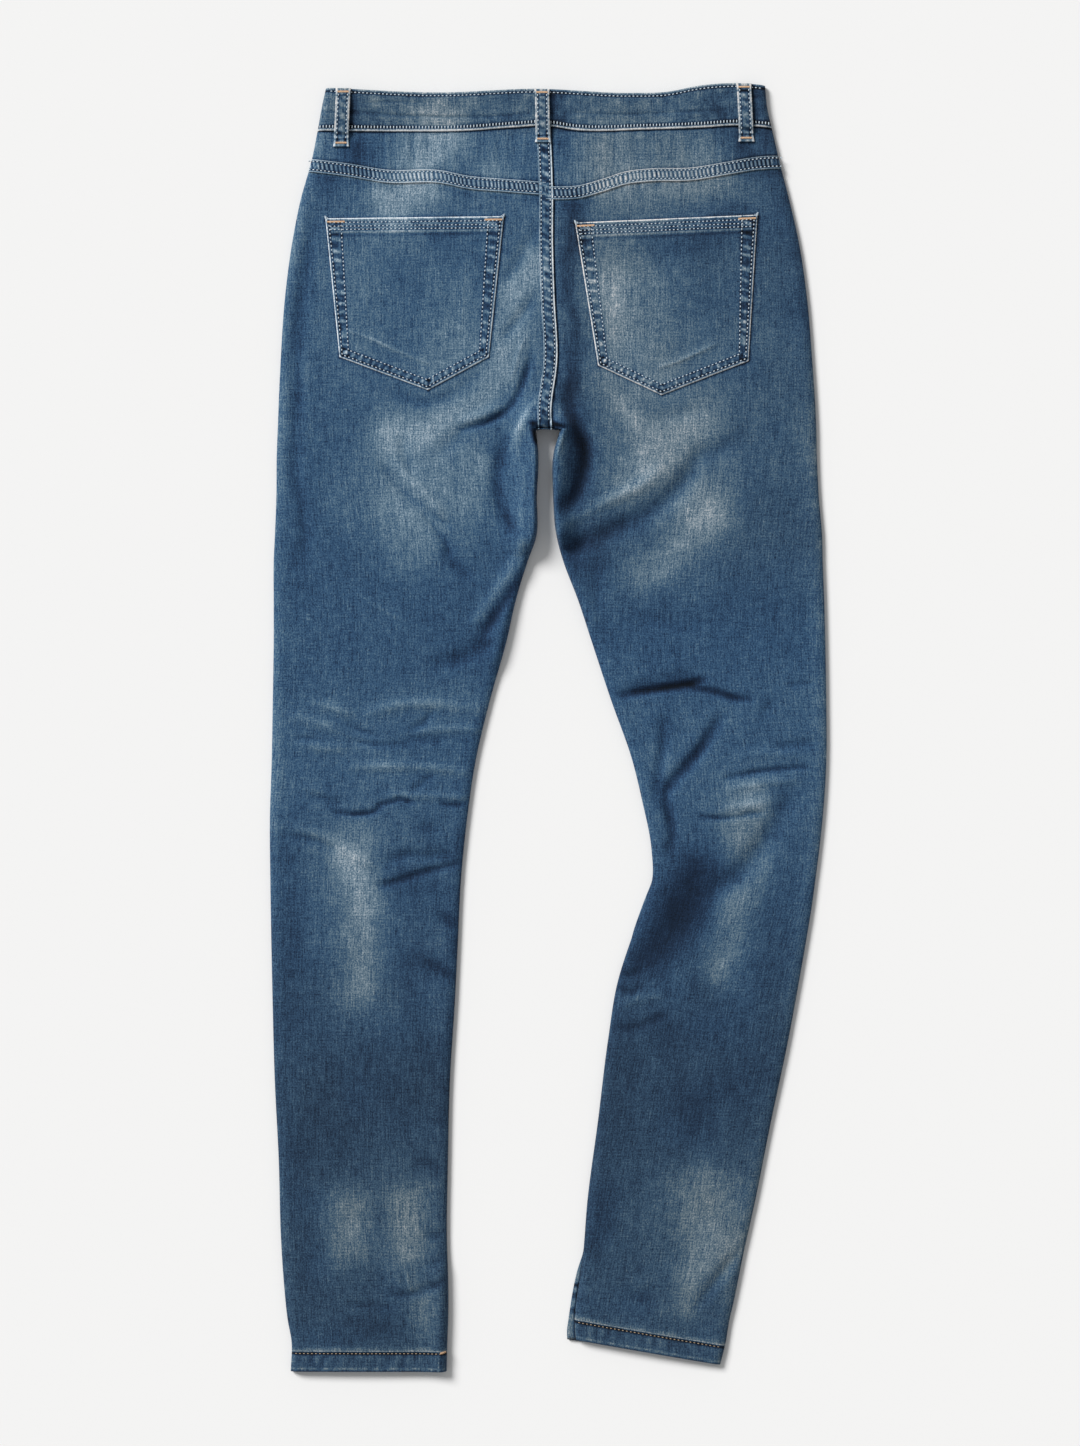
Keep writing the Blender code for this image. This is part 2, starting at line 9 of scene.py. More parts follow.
import bpy
import numpy as np
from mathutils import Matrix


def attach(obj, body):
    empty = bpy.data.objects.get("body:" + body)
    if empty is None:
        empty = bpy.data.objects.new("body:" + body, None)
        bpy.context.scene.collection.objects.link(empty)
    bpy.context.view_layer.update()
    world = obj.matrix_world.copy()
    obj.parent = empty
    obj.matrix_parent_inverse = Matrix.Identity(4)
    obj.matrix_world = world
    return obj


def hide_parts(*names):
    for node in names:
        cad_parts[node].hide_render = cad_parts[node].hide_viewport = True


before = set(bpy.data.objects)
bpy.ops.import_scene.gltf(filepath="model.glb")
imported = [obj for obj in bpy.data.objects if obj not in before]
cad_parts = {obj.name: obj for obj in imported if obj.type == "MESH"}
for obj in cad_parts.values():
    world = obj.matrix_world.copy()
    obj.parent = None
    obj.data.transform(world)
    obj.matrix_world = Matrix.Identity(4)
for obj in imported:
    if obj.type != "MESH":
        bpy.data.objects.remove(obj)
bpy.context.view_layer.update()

MM = 0.001
SEED = 7

# How the back lies over the front
EDGE_MIDDLE = 2.9
LOFT = 3.4
DOME = 1.2
DOME_BLEND = 90.0
ROLL = 9.0
BAND_ROLL = 6.3
HEM_ROLL = 7.2
ABOVE_FRONT = 0.5
EDGE_STEPS = (0.0, 0.4, 1.0, 1.9, 3.1, 4.6, 6.4)

# The rolled edge from the back down to the front
Lip = namedtuple("Lip", "inset height")
LIP = (Lip(3.0, 1.25), Lip(1.2, 1.5), Lip(0.3, 2.1))
LIP_DROP = 0.4

# How far what lies on the back stands out from it
BAND_RAISE = 1.5
HEM_RAISE = 0.5
SEAM_OUT = 1.2
POCKET_OUT = 1.3
POCKET_BAND_RAISE = 0.45
LOOP_OUT = 1.9

# The inner thighs stand up beside the gap under the crotch
Thigh = namedtuple("Thigh", "raise_by width route")
THIGHS = (
    Thigh(12.5, 17.0, ((-11, 262), (-10, 200), (-14, 165))),
    Thigh(4.0, 16.0, ((-14, 150), (-40, 66))),
    Thigh(11.5, 13.0, ((9, 258), (5, 200), (8, 168))),
    Thigh(2.5, 12.0, ((12, 144), (30, 95))),
    Thigh(3.5, 15.0, ((-88, -470), (-89, -556))),
)
STEEP_ROLL = 2.6
STEEP_FROM = 105.0
STEEP_FULL = 170.0
STEEP_ABOVE = 14.0
STEEP_REACH = 70.0

# Where the legs part, and the centre line of the front
CROTCH = 256.5
CROTCH_LOW = 256.0
CROTCH_HIGH = 257.0
CROTCH_SPREAD = 60.0
CENTRE_FRONT = -3.0

Seat = namedtuple("Seat", "y left seam right")
SEAT = (
    Seat(553, -190.5, -4.7, 186.0),
    Seat(533, -194.8, -4.5, 187.9),
    Seat(514, -198.2, -4.2, 192.2),
    Seat(488, -203.4, -3.0, 198.2),
    Seat(454, -212.9, -2.0, 206.8),
    Seat(420, -219.7, -2.1, 214.6),
    Seat(368, -226.6, -0.6, 222.3),
    Seat(316, -230.1, 1.7, 226.6),
    Seat(272, -232.1, -3.4, 229.5),
    Seat(257, -232.6, -3.0, 230.1),
)

Leg = namedtuple("Leg", "y side inseam")
LEFT_LEG = (
    Leg(256, -232.7, -10.8),
    Leg(235, -233.5, -8.6),
    Leg(200, -233.8, -9.9),
    Leg(163, -235.2, -10.8),
    Leg(144, -236.1, -17.6),
    Leg(110, -236.1, -28.0),
    Leg(76, -236.1, -35.7),
    Leg(24, -236.9, -50.3),
    Leg(-27, -237.8, -62.4),
    Leg(-79, -239.4, -70.1),
    Leg(-131, -239.0, -75.3),
    Leg(-182, -238.2, -77.8),
    Leg(-234, -237.1, -80.4),
    Leg(-303, -235.2, -84.7),
    Leg(-371, -231.8, -86.4),
    Leg(-440, -229.8, -87.3),
    Leg(-475, -227.5, -86.2),
    Leg(-509, -224.0, -86.2),
    Leg(-527, -220.8, -86.9),
    Leg(-553, -221.5, -87.5),
)
RIGHT_LEG = (
    Leg(256, 230.2, 9.9),
    Leg(238, 230.5, 4.7),
    Leg(200, 232.2, 3.9),
    Leg(163, 235.2, 7.3),
    Leg(144, 235.6, 12.5),
    Leg(110, 236.9, 25.4),
    Leg(76, 237.8, 36.6),
    Leg(24, 238.7, 53.8),
    Leg(-27, 238.8, 71.8),
    Leg(-62, 236.9, 80.4),
    Leg(-105, 232.6, 88.6),
    Leg(-131, 229.2, 89.0),
    Leg(-148, 227.0, 83.9),
    Leg(-182, 221.5, 71.0),
    Leg(-217, 215.4, 59.8),
    Leg(-268, 206.0, 51.2),
    Leg(-337, 191.4, 42.6),
    Leg(-406, 177.6, 33.5),
    Leg(-457, 166.4, 29.2),
    Leg(-493, 159.1, 23.9),
    Leg(-508, 155.6, 22.4),
    Leg(-530, 151.8, 23.7),
    Leg(-547, 147.5, 24.0),
)

# Seam lines across the garment
Line = namedtuple("Line", "x y")
BAND_TOP = (
    Line(-192, 549.5), Line(-91, 545.2), Line(-11, 548.3), Line(69, 544.8),
    Line(100, 545.6), Line(131, 551.3), Line(161, 553.4), Line(187, 551.5),
)
BAND_BOTTOM = (
    Line(-198, 512.6), Line(-122, 511.7), Line(-75, 512.1), Line(-30, 515.1), Line(-3, 516.5),
    Line(24, 512.8), Line(85, 513.4), Line(131, 515.1), Line(163, 517.0), Line(192, 515.1),
)
YOKE_SEAM_LEFT = (
    Line(-205, 482.9), Line(-171, 478.6), Line(-140, 473.4), Line(-91, 472.6),
    Line(-71, 468.4), Line(-37, 465.3), Line(-3, 462.6),
)
YOKE_SEAM_RIGHT = (
    Line(-3, 458.8), Line(27, 460.1), Line(46, 465.3), Line(66, 471.7), Line(87, 474.3),
    Line(122, 475.2), Line(154, 480.3), Line(177, 484.2), Line(202, 485.9),
)
# How far the front shows past the back's edge on the right leg, and the puckers on it
Strip = namedtuple("Strip", "y beyond")
FRONT_STRIP = (
    Strip(-132, 0.0), Strip(-140, 0.9), Strip(-172, 0.9), Strip(-182, 0.0), Strip(-190, 0.0),
    Strip(-440, 0.0), Strip(-448, 0.0), Strip(-467, 3.2),
    Strip(-484, 4.2), Strip(-500, 4.7), Strip(-508, 5.2), Strip(-519, 7.0), Strip(-527, 7.4),
)
PUCKERS = (-479.0, -487.6, -500.5)
FRONT_REACH = 511.0
FRONT_CLOTH = 1.2
BAND_CLOTH = 2.0
BUTTON_PLACE = (-2.0, 531.0)
BUTTON_HOLE = 8.8
SEAT_SEAM_WIDTH = 12.0
YOKE_SEAM_WIDTH = 11.0
LEFT_HEM_LINE = -534.5
RIGHT_HEM_LINE = -507.4
HEM_LENGTH = 18.0
HEM_LEAN = -0.173
LEAN_FROM = -140.0
SEAM_FADE = 100.0
HEM_MIDDLE = 8.0

# Folds: how wide, how high (a furrow is below zero), what wear and painted shade add to the wash (pale wear
# on ridges, painted shade in furrows), the route, and how far the left side of the route stands over its
# right side
Fold = namedtuple("Fold", "width height wear route step", defaults=(0.0,))
FOLDS = (
    # seat and left thigh
    Fold(2.8, -2.4, -0.46, ((-75, 256), (-60, 260), (-46, 266), (-32, 276), (-23, 294), (-17, 314))),
    Fold(5.0, -1.4, -0.26, ((-13, 370), (-20, 358), (-29, 346), (-38, 336))),
    Fold(1.4, 0.7, 0.22, ((-20, 336), (-25, 324), (-28, 312), (-32, 300))),
    Fold(4.0, -1.1, -0.22, ((-16, 330), (-15, 316), (-20, 300))),
    Fold(5.0, -0.9, -0.18, ((-9, 430), (-22, 408), (-36, 384))),
    # painted shadow below the left pocket's point, in a shallow furrow
    Fold(6.0, -1.0, -0.22, ((-134, 290), (-120, 283), (-104, 279), (-84, 285), (-60, 303))),
    # near-black notches beside the crotch: painted shadow in small furrows
    Fold(1.2, -0.8, -0.60, ((-11.5, 274), (-11, 268), (-11, 262))),
    Fold(2.3, -1.0, -0.95, ((-16.5, 261.2), (-13, 260.5), (-9, 260))),
    Fold(2.4, -0.8, -0.90, ((-13.5, 257), (-12, 251), (-10, 243))),
    Fold(2.2, -1.0, -0.90, ((5, 260.5), (8, 259.5), (11, 257.5))),
    Fold(2.6, 1.2, 0.34, ((-9, 283), (-17, 273), (-23, 264), (-27, 254), (-27.5, 243))),
    Fold(1.3, 0.5, 0.24, ((-24, 261), (-28.5, 253), (-32, 242), (-35, 235))),
    Fold(2.0, 1.0, 0.24, ((6, 276), (10, 270), (14, 263), (14, 254), (10, 243), (7, 232))),
    Fold(8.0, -1.2, -0.10, ((-72, 256), (-93, 237))),
    Fold(4.5, 1.2, 0.08, ((-74, 263), (-58, 268), (-40, 277))),
    Fold(4.5, -1.0, -0.10, ((-126, 248), (-123, 233), (-115, 218))),
    Fold(4.5, -1.6, -0.16, ((-142, 225), (-132, 212), (-120, 199), (-104, 187))),
    Fold(4.0, 1.3, 0.14, ((-134, 228), (-118, 212), (-100, 194), (-92, 182))),
    Fold(2.4, -1.6, -0.28, ((-104, 188), (-95, 180), (-85, 173))),
    Fold(2.6, -1.6, -0.24, ((-107, 183), (-97, 171), (-88, 159), (-85, 149))),
    Fold(5.5, -2.0, -0.22, ((-87, 155), (-84, 146), (-76, 137), (-66, 131))),
    Fold(6.0, -2.4, -0.34, ((-37, 248), (-42, 225), (-43, 202), (-37, 182), (-29, 168))),
    Fold(4.0, 1.9, 0.16, ((-13, 273), (-25, 252), (-27, 233), (-23, 205), (-25, 178), (-24, 150))),
    Fold(4.5, -2.4, -0.34, ((-22, 130), (-36, 110), (-50, 90), (-58, 76))),
    Fold(5.0, 1.5, 0.24, ((-22, 160), (-31, 138), (-47, 114), (-66, 88))),
    Fold(5.0, -1.4, -0.16, ((-68, 73), (-49, 69))),
    Fold(6.5, -1.6, -0.24, ((-200, 440), (-204, 424), (-209, 391), (-213, 360), (-216, 326), (-216, 290),
        (-216, 262))),
    Fold(5.5, -1.5, -0.20, ((-216, 280), (-217, 225), (-213, 196), (-209, 168), (-213, 141))),
    Fold(1.9, 0.8, 0.20, ((-163, 115), (-150, 106), (-145, 103), (-122, 90))),
    Fold(7.0, -1.8, -0.20, ((-98, 54), (-75, 60), (-51, 70))),
    Fold(6.0, -0.8, -0.10, ((97, 266), (131, 273))),
    # right thigh
    Fold(8.5, -3.2, -0.26, ((13, 150), (48, 167), (84, 183), (107, 201), (122, 220), (130, 236))),
    Fold(5.0, 1.4, 0.18, ((14, 174), (34, 186), (60, 199), (84, 211), (96, 224))),
    Fold(7.0, -1.2, -0.14, ((126, 234), (147, 239), (166, 250))),
    Fold(8.0, 1.2, 0.06, ((50, 192), (84, 208), (106, 224))),
    Fold(6.8, -4.2, -0.50, ((15, 290), (19, 271), (25, 257), (30, 244), (31, 230), (29, 215), (23, 201),
        (12, 187))),
    Fold(5.0, -1.0, -0.10, ((39, 146), (41, 126), (43, 104))),
    Fold(6.0, -1.4, -0.16, ((16, 150), (32, 163))),
    Fold(7.0, -0.8, -0.05, ((78, 94), (110, 91), (138, 91))),
    # left knee: pale ridges
    Fold(4.0, 1.3, 0.22, ((-201, 22), (-184, 17), (-170, 12))),
    Fold(4.5, 1.3, 0.24, ((-220, 10), (-201, 5), (-182, -2))),
    Fold(4.5, 1.4, 0.22, ((-155, 13), (-127, 20), (-101, 21), (-83, 19), (-58, 16))),
    Fold(3.4, 1.2, 0.20, ((-113, -4), (-95, -1), (-73, -1), (-58, -2))),
    Fold(4.0, 1.1, 0.20, ((-213, -13), (-194, -17), (-172, -16))),
    Fold(4.0, 1.4, 0.23, ((-172, -34), (-144, -33), (-115, -33), (-90, -35), (-70, -38))),
    Fold(3.5, 0.9, 0.12, ((-208, -51), (-197, -55), (-182, -60))),
    Fold(3.0, 1.1, 0.15, ((-140, -58), (-107, -58), (-80, -59), (-70, -60))),
    Fold(5.5, 1.3, 0.20, ((-218, -87), (-201, -91), (-187, -97), (-172, -106), (-155, -117))),
    # left knee: furrows
    Fold(3.0, -1.3, -0.14, ((-174, 5), (-160, -3), (-146, -8))),
    Fold(3.0, -1.3, -0.14, ((-100, 13), (-107, 4), (-117, 0))),
    Fold(4.0, -1.1, -0.15, ((-123, -10), (-105, -10), (-90, -12))),
    Fold(2.6, -1.1, -0.12, ((-216, -9), (-198, -10))),
    Fold(2.4, -1.1, -0.15, ((-172, -10), (-152, -14), (-121, -14))),
    Fold(3.0, -1.2, -0.15, ((-101, -41), (-108, -48), (-116, -53))),
    Fold(2.0, -2.2, -0.50, ((-146, -66), (-133, -63), (-127, -61), (-117, -64))),
    Fold(2.2, -2.2, -0.48, ((-184, -72), (-167, -74), (-150, -72), (-145, -67))),
    Fold(2.0, -1.2, -0.30, ((-93, -65), (-83, -66), (-72, -65))),
    Fold(5.0, -1.4, -0.12, ((-203, -57), (-188, -62), (-178, -68))),
    Fold(4.0, -1.5, -0.16, ((-229, -92), (-211, -94), (-195, -99), (-184, -105))),
    Fold(5.0, -1.2, -0.14, ((-110, -84), (-93, -88))),
    Fold(5.0, -1.8, -0.20, ((-138, -114), (-121, -109), (-107, -110), (-84, -108))),
    Fold(3.2, -2.2, -0.28, ((-145, -135), (-135, -133), (-123, -129), (-108, -124), (-87, -119),
        (-74, -115))),
    # right knee
    Fold(3.4, -3.3, -0.62, ((61, 28), (83, 32), (104, 35), (121, 38), (134, 42))),
    Fold(6.0, -1.4, -0.10, ((66, 33), (100, 40), (130, 46))),
    Fold(3.4, -2.4, -0.46, ((122, 35), (144, 31), (157, 27), (174, 24))),
    Fold(5.0, -1.0, -0.12, ((193, 23), (185, 12))),
    Fold(5.0, -3.1, -0.42, ((147, 8), (134, -13), (121, -30), (110, -42), (102, -52))),
    Fold(4.5, -2.6, -0.30, ((102, -50), (101, -63), (104, -77), (106, -91), (104, -108))),
    Fold(5.0, -1.8, -0.24, ((98, 7), (99, -13), (95, -36), (92, -60))),
    Fold(2.6, -0.9, -0.10, ((99, 10), (110, -1), (123, -7))),
    Fold(2.2, -1.7, -0.34, ((152, -43), (171, -39), (190, -36), (214, -34), (222, -34))),
    Fold(4.0, 1.2, 0.12, ((157, -52), (185, -47), (215, -44))),
    Fold(4.0, -1.2, -0.16, ((196, -17), (215, -14), (230, -13))),
    Fold(5.0, 1.1, 0.08, ((165, -24), (190, -22), (212, -24))),
    Fold(2.0, -0.8, -0.14, ((206, 37), (228, 38))),
    Fold(2.0, -1.7, -0.42, ((131, -76), (147, -77), (161, -77))),
    Fold(2.0, -1.5, -0.36, ((163, -76), (172, -74), (184, -73))),
    Fold(4.0, 1.2, 0.16, ((150, -69), (168, -67), (188, -64))),
    Fold(10.0, -2.8, -0.22, ((210, -60), (201, -72), (188, -93), (175, -112), (160, -128), (136, -140))),
    # shins and calves
    Fold(14.0, -2.0, -0.16, ((130, -122), (121, -150), (99, -184), (72, -206))),
    Fold(3.0, -1.2, -0.20, ((60, -206), (68, -212), (78, -208))),
    Fold(3.0, -1.2, -0.20, ((60, -222), (70, -226), (80, -222))),
    Fold(4.0, 0.8, 0.12, ((62, -238), (76, -233), (98, -229))),
    Fold(4.0, -1.1, -0.18, ((54, -257), (78, -256), (99, -246))),
    Fold(5.0, -1.0, -0.22, ((-94, -161), (-86, -165), (-77, -172))),
    Fold(5.0, -1.0, -0.22, ((-106, -199), (-92, -208), (-79, -217))),
    Fold(4.0, -0.8, -0.14, ((-96, -308), (-86, -312))),
    Fold(5.0, -0.8, -0.20, ((-110, -370), (-92, -379))),
    Fold(3.0, -1.3, -0.24, ((-134, -486), (-119, -486), (-103, -482), (-86, -471))),
    Fold(1.3, 0.6, 0.18, ((-122, -467), (-120, -476), (-117, -485))),
    Fold(4.0, -0.9, -0.14, ((-106, -436), (-96, -435), (-87, -431))),
    Fold(4.0, -0.9, -0.14, ((-105, -461), (-96, -459), (-88, -452))),
    Fold(3.0, -1.0, -0.16, ((-170, -494), (-136, -497))),
    Fold(3.0, -1.0, -0.16, ((-112, -481), (-96, -476))),
    Fold(6.0, -1.8, -0.16, ((166, -452), (149, -473), (133, -494)), step=1.8),
    Fold(4.0, -0.9, -0.10, ((70, -486), (92, -492))),
    Fold(3.0, 0.8, 0.10, ((68, -473), (84, -478))),
)
BAND_FOLDS = (
    Fold(1.5, -0.6, -0.22, ((-193, 528.5), (-159, 528), (-124, 525), (-59, 524), (-16, 527))),
    Fold(1.3, -0.4, -0.12, ((-158, 536), (-132, 537), (-104, 536))),
    Fold(1.4, -0.5, -0.14, ((12, 528), (60, 526), (110, 528), (158, 531))),
)
POCKET_FOLDS = (
    Fold(1.3, 0.5, 0.30, ((-172, 341), (-150, 333), (-136, 326), (-104, 313))),
    Fold(4, 0.4, 0.04, ((-171, 341), (-136, 328), (-104, 314))),
    Fold(1.0, 0.15, 0.07, ((-159, 420), (-157, 380), (-156, 345))),
    Fold(1.0, 0.15, 0.06, ((-73, 400), (-74, 360), (-77, 335))),
    Fold(4, 0.5, 0.08, ((95, 310), (122, 320), (142, 329))),
    Fold(1.5, 0.5, 0.20, ((94, 309), (110, 314), (128, 322), (145, 330))),
)

# The wash: how pale the cloth is along the garment, and what soft spots and streaks add. Some of the dark
# spots are painted shade of folds and of a belt loop
Pale = namedtuple("Pale", "y wash")
PALE = (
    Pale(549, 0.48), Pale(411, 0.46), Pale(282, 0.42), Pale(196, 0.36), Pale(110, 0.33), Pale(67, 0.33),
    Pale(7, 0.38), Pale(-53, 0.38), Pale(-105, 0.32), Pale(-234, 0.24), Pale(-346, 0.22),
    Pale(-397, 0.27), Pale(-518, 0.27),
)
# Painted shade at the right hip, and the wear along both rolled sides, which along the right hip turns to
# painted shade
SIDE_SHADE = -0.14
SIDE_SHADE_WIDTH = 34.0
SIDE_WEAR_AND_SHADE = 0.15
SIDE_WEAR_AND_SHADE_WIDTH = 12.0
SIDE_WEAR_AND_SHADE_LESS = 4.0
# Where along the garment the hips and the lower legs begin and are full
RIGHT_HIP = (230.0, 420.0)
LEFT_HIP = (250.0, 340.0)
LOW_LEG = (60.0, 130.0)
RIGHT_LOW_LEG = 0.4
# How much less side wear each stretch has; the right hip's share is over one, so there it paints shade
SideLess = namedtuple("SideLess", "right_hip low_leg left_hip")
SIDE_LESS = SideLess(1.6, 0.75, 0.3)
Wash = namedtuple("Wash", "width add route")
WASH_AND_SHADE_SPOTS = (
    # yokes and waistband
    Wash(24, 0.40, ((-132, 441), (-119, 467), (-89, 519))),
    Wash(13, 0.24, ((-140, 463), (-118, 466), (-96, 461))),
    Wash(12, 0.14, ((-78, 512), (-72, 500))),
    Wash(14, 0.22, ((40, 463), (100, 467), (142, 466))),
    Wash(20, -0.24, ((148, 522), (172, 498))),
    Wash(14, 0.22, ((-46, 476), (-44, 478))),
    Wash(16, -0.26, ((-166, 500), (-164, 504))),
    Wash(12, -0.14, ((-172, 491), (-156, 487))),
    Wash(13, 0.16, ((-116, 531), (-104, 531))),
    Wash(12, -0.20, ((-190, 462), (-189, 465))),
    Wash(34, 0.22, ((55, 500), (120, 480))),
    Wash(13, 0.18, ((50, 462), (72, 472))),
    # painted shadow beside the centre belt loop
    Wash(10, -0.22, ((10, 545), (8, 500))),
    # seat
    Wash(17, 0.42, ((-14, 400), (-29, 368), (-37, 316), (-59, 286), (-102, 261), (-134, 248))),
    Wash(24, 0.10, ((-171, 400), (-171, 330))),
    Wash(26, 0.16, ((-82, 325), (-78, 326))),
    Wash(14, -0.16, ((-90, 420), (-88, 421))),
    Wash(16, -0.10, ((-137, 398), (-135, 399))),
    Wash(18, 0.22, ((46, 375), (46, 370))),
    Wash(20, 0.12, ((58, 385), (62, 340))),
    Wash(22, -0.10, ((138, 398), (148, 370))),
    Wash(18, -0.24, ((90, 408), (125, 418), (160, 434))),
    Wash(9, -0.34, ((21, 452), (19, 400), (21, 350), (22, 296))),
    Wash(8, 0.18, ((52, 358), (55, 302), (76, 262), (84, 226))),
    Wash(12, -0.18, ((92, 276), (112, 274))),
    Wash(16, 0.14, ((-73, 375), (-75, 332), (-110, 303))),
    Wash(14, 0.12, ((-62, 236), (-56, 222))),
    Wash(42, 0.20, ((70, 385), (82, 300))),
    Wash(30, 0.10, ((88, 215), (130, 190))),
    Wash(14, -0.14, ((17, 300), (24, 250), (20, 200))),
    Wash(5, 0.18, ((11, 246), (10, 225), (11, 205))),
    Wash(18, -0.12, ((28, 150), (50, 145))),
    Wash(30, 0.20, ((80, 262), (125, 262))),
    Wash(20, 0.30, ((66, 208), (96, 232), (122, 256))),
    Wash(22, 0.16, ((120, 190), (144, 214))),
    Wash(19, 0.42, ((80, 134), (111, 151), (138, 184))),
    # left thigh
    Wash(48, 0.34, ((-116, 212), (-104, 196))),
    Wash(22, 0.18, ((-134, 186), (-122, 150))),
    Wash(20, 0.14, ((-80, 225), (-60, 195))),
    # knees and shins
    Wash(24, 0.44, ((168, -68), (170, -96))),
    Wash(16, 0.20, ((178, -118), (160, -160))),
    Wash(17, 0.34, ((-168, -116), (-161, -150), (-159, -190), (-162, -224))),
    Wash(24, 0.12, ((-166, -96), (-168, -150))),
    Wash(42, 0.14, ((-166, -110), (-166, -210))),
    Wash(14, 0.12, ((-90, 25), (-62, 22))),
    Wash(14, 0.12, ((-156, -10), (-136, -38))),
    Wash(12, 0.13, ((-116, -112), (-92, -116))),
    Wash(10, -0.10, ((-62, -98), (-64, -150))),
    Wash(12, 0.10, ((-99, -172), (-99, -186))),
    Wash(13, 0.13, ((-95, -225), (-97, -255))),
    Wash(12, 0.12, ((90, -24), (108, -34))),
    Wash(16, 0.20, ((166, -188), (154, -216))),
    Wash(12, 0.10, ((108, -206), (150, -206))),
    Wash(14, -0.12, ((99, -254), (100, -264))),
    Wash(18, -0.12, ((122, -320), (122, -346))),
    Wash(12, 0.12, ((100, -388), (106, -400))),
    Wash(15, -0.10, ((-112, -206), (-112, -204))),
    Wash(20, -0.12, ((-115, -127), (-115, -125))),
    # a dark band down the right knee's bend, here and in the next spot: partly darker wash, partly painted
    # fold shade
    Wash(24, -0.26, ((128, -122), (112, -150))),
    Wash(17, -0.14, ((104, -170), (88, -200))),
    Wash(15, 0.16, ((158, -150), (146, -185), (140, -205))),
    Wash(14, -0.08, ((-222, -110), (-219, -200))),
    Wash(12, -0.08, ((-214, -370), (-210, -490))),
    Wash(12, 0.10, ((166, -140), (152, -200))),
    # calves
    Wash(32, 0.44, ((137, -400), (135, -438))),
    Wash(15, 0.32, ((126, -470), (118, -495))),
    Wash(10, -0.14, ((46, -398), (36, -450))),
    Wash(14, -0.10, ((112, -450), (108, -470))),
    Wash(12, 0.14, ((158, -440), (150, -470))),
    Wash(12, -0.12, ((-149, -414), (-147, -438))),
    Wash(10, 0.14, ((-107, -482), (-108, -524))),
    Wash(20, 0.32, ((-171, -415), (-171, -440))),
    Wash(17, 0.36, ((-123, -405), (-123, -450))),
    Wash(45, 0.14, ((-146, -432), (-144, -432))),
    Wash(20, 0.14, ((-111, -493), (-111, -497))),
    Wash(14, -0.12, ((-170, -515), (-140, -513))),
)

# Patch pockets: corners and the point of the lower edge
Pocket = namedtuple("Pocket", "name left_top right_top right_low tip left_low")
POCKETS = (
    Pocket("left", (-191.4, 437.2), (-38.3, 438.9), (-51.2, 318.2), (-103.6, 289.8), (-179.3, 318.2)),
    Pocket("right", (22.8, 433.4), (179.3, 440.3), (171.6, 314.8), (96.8, 285.5), (42.6, 310.9)),
)
POCKET_BAND = 12.2
POCKET_EDGE_ROW = 2.6
POCKET_INNER_ROW = 8.2
POCKET_SIDE_ROW = 13.0
POCKET_BAND_ROWS = (3.8, 7.0, 9.8)
POCKET_ROW_TOP = 4.0
POCKET_TACK = (1.6, 16.5)

# Belt loops: centre of the upper and of the lower end
Loop = namedtuple("Loop", "name top bottom")
LOOPS = (
    Loop("left", (-175.9, 548.6), (-178.0, 498.8)),
    Loop("centre", (-5.6, 547.6), (-4.7, 502.2)),
    Loop("right", (167.5, 552.6), (169.9, 503.1)),
)
LOOP_WIDTH = 12.5
LOOP_LIFT = 1.8
LOOP_LENGTH = 50.0
LOOP_ROW = 3.9
LOOP_TACKS = (0.06, 0.935)

# Sewing
STITCH_PITCH = 3.4
STITCH_LENGTH = 1.7
THREAD_WIDTH = 1.0
HEM_THREAD_WIDTH = 0.75
# Painted shade in the stitch holes, where the thread dives into the cloth
HOLE_SHADE = -0.74
BAND_TOP_ROW = 3.0
BAND_LOW_ROW = 3.5
YOKE_SEAM_ROWS = (3.7, -3.5)
SEAT_SEAM_ROWS = (-4.2, 3.6)
HEM_ROW = 2.1
RUNG_PITCH = 2.75
RUNG_HEIGHT = 2.7
RIB_PITCH = 3.6
RIB_RAISE = 0.25
HEM_ROPE_PITCH = 11.0
ROPE_PITCH = 9.0
LOW_ROPE_PITCH = 6.4
SEAT_ROPE_PITCH = 8.0
TACK_PITCH = 0.42
TACK_THICK = 1.9

# Colours of the wash, from the darkest cloth to the palest, as seen in daylight (0 to 255)
Tone = namedtuple("Tone", "wash red green blue")
TONES = (
    Tone(-0.35, 7, 15, 26),
    Tone(0.0, 24, 43, 68),
    Tone(0.16, 35, 59, 87),
    Tone(0.33, 46, 76, 107),
    Tone(0.50, 62, 93, 121),
    Tone(0.63, 80, 106, 126),
    Tone(0.81, 99, 123, 141),
    Tone(1.0, 119, 142, 159),
    Tone(1.5, 180, 192, 201),
    Tone(2.2, 224, 230, 234),
)
# How bright a level surface stands in the light, so that the tones are what is seen
LIGHT_LEVEL = 1.05
THREAD_COLOUR = (184, 197, 206)
TACK_COLOUR = (206, 170, 136)
HEM_THREAD_COLOUR = (158, 140, 116)
BRASS_COLOUR = (150, 118, 72)
FLOOR_COLOUR = (237, 236, 235)

# Threads of the twill: size across and along the cloth, roughness of the noise, and share
Grain = namedtuple("Grain", "across along detail share")
GRAIN = (
    Grain(1.4, 40.0, 2.0, 0.65),
    Grain(1.0, 9.0, 1.0, 0.65),
    Grain(17.0, 1.4, 1.0, 0.4),
    Grain(1.2, 1.4, 2.0, 1.5),
    Grain(6.0, 9.0, 2.0, 0.35),
)
GRAIN_BASE = 0.46
GRAIN_BY_WASH = 0.70
# What the greyest cloth's colour is multiplied by
GREY = (1.06, 0.89, 0.78)
DENIM_SHADER = {"Roughness": 0.9, "Specular IOR Level": 0.12, "Sheen Weight": 0.05, "Sheen Roughness": 0.5}

# One wide soft lamp from the upper left, and an even fill
KEY = 3.9
KEY_SIZE = 0.40
KEY_FROM = (-1.05, 0.95, 1.0)
FILL = 0.36

# The camera, and the photograph's frame on the floor, in metres
SENSOR = 36.0
CAMERA_HEIGHT = 3.0
PHOTO_HEIGHT = 1.2436
PHOTO_MIDDLE = (-0.0073, 0.0043)

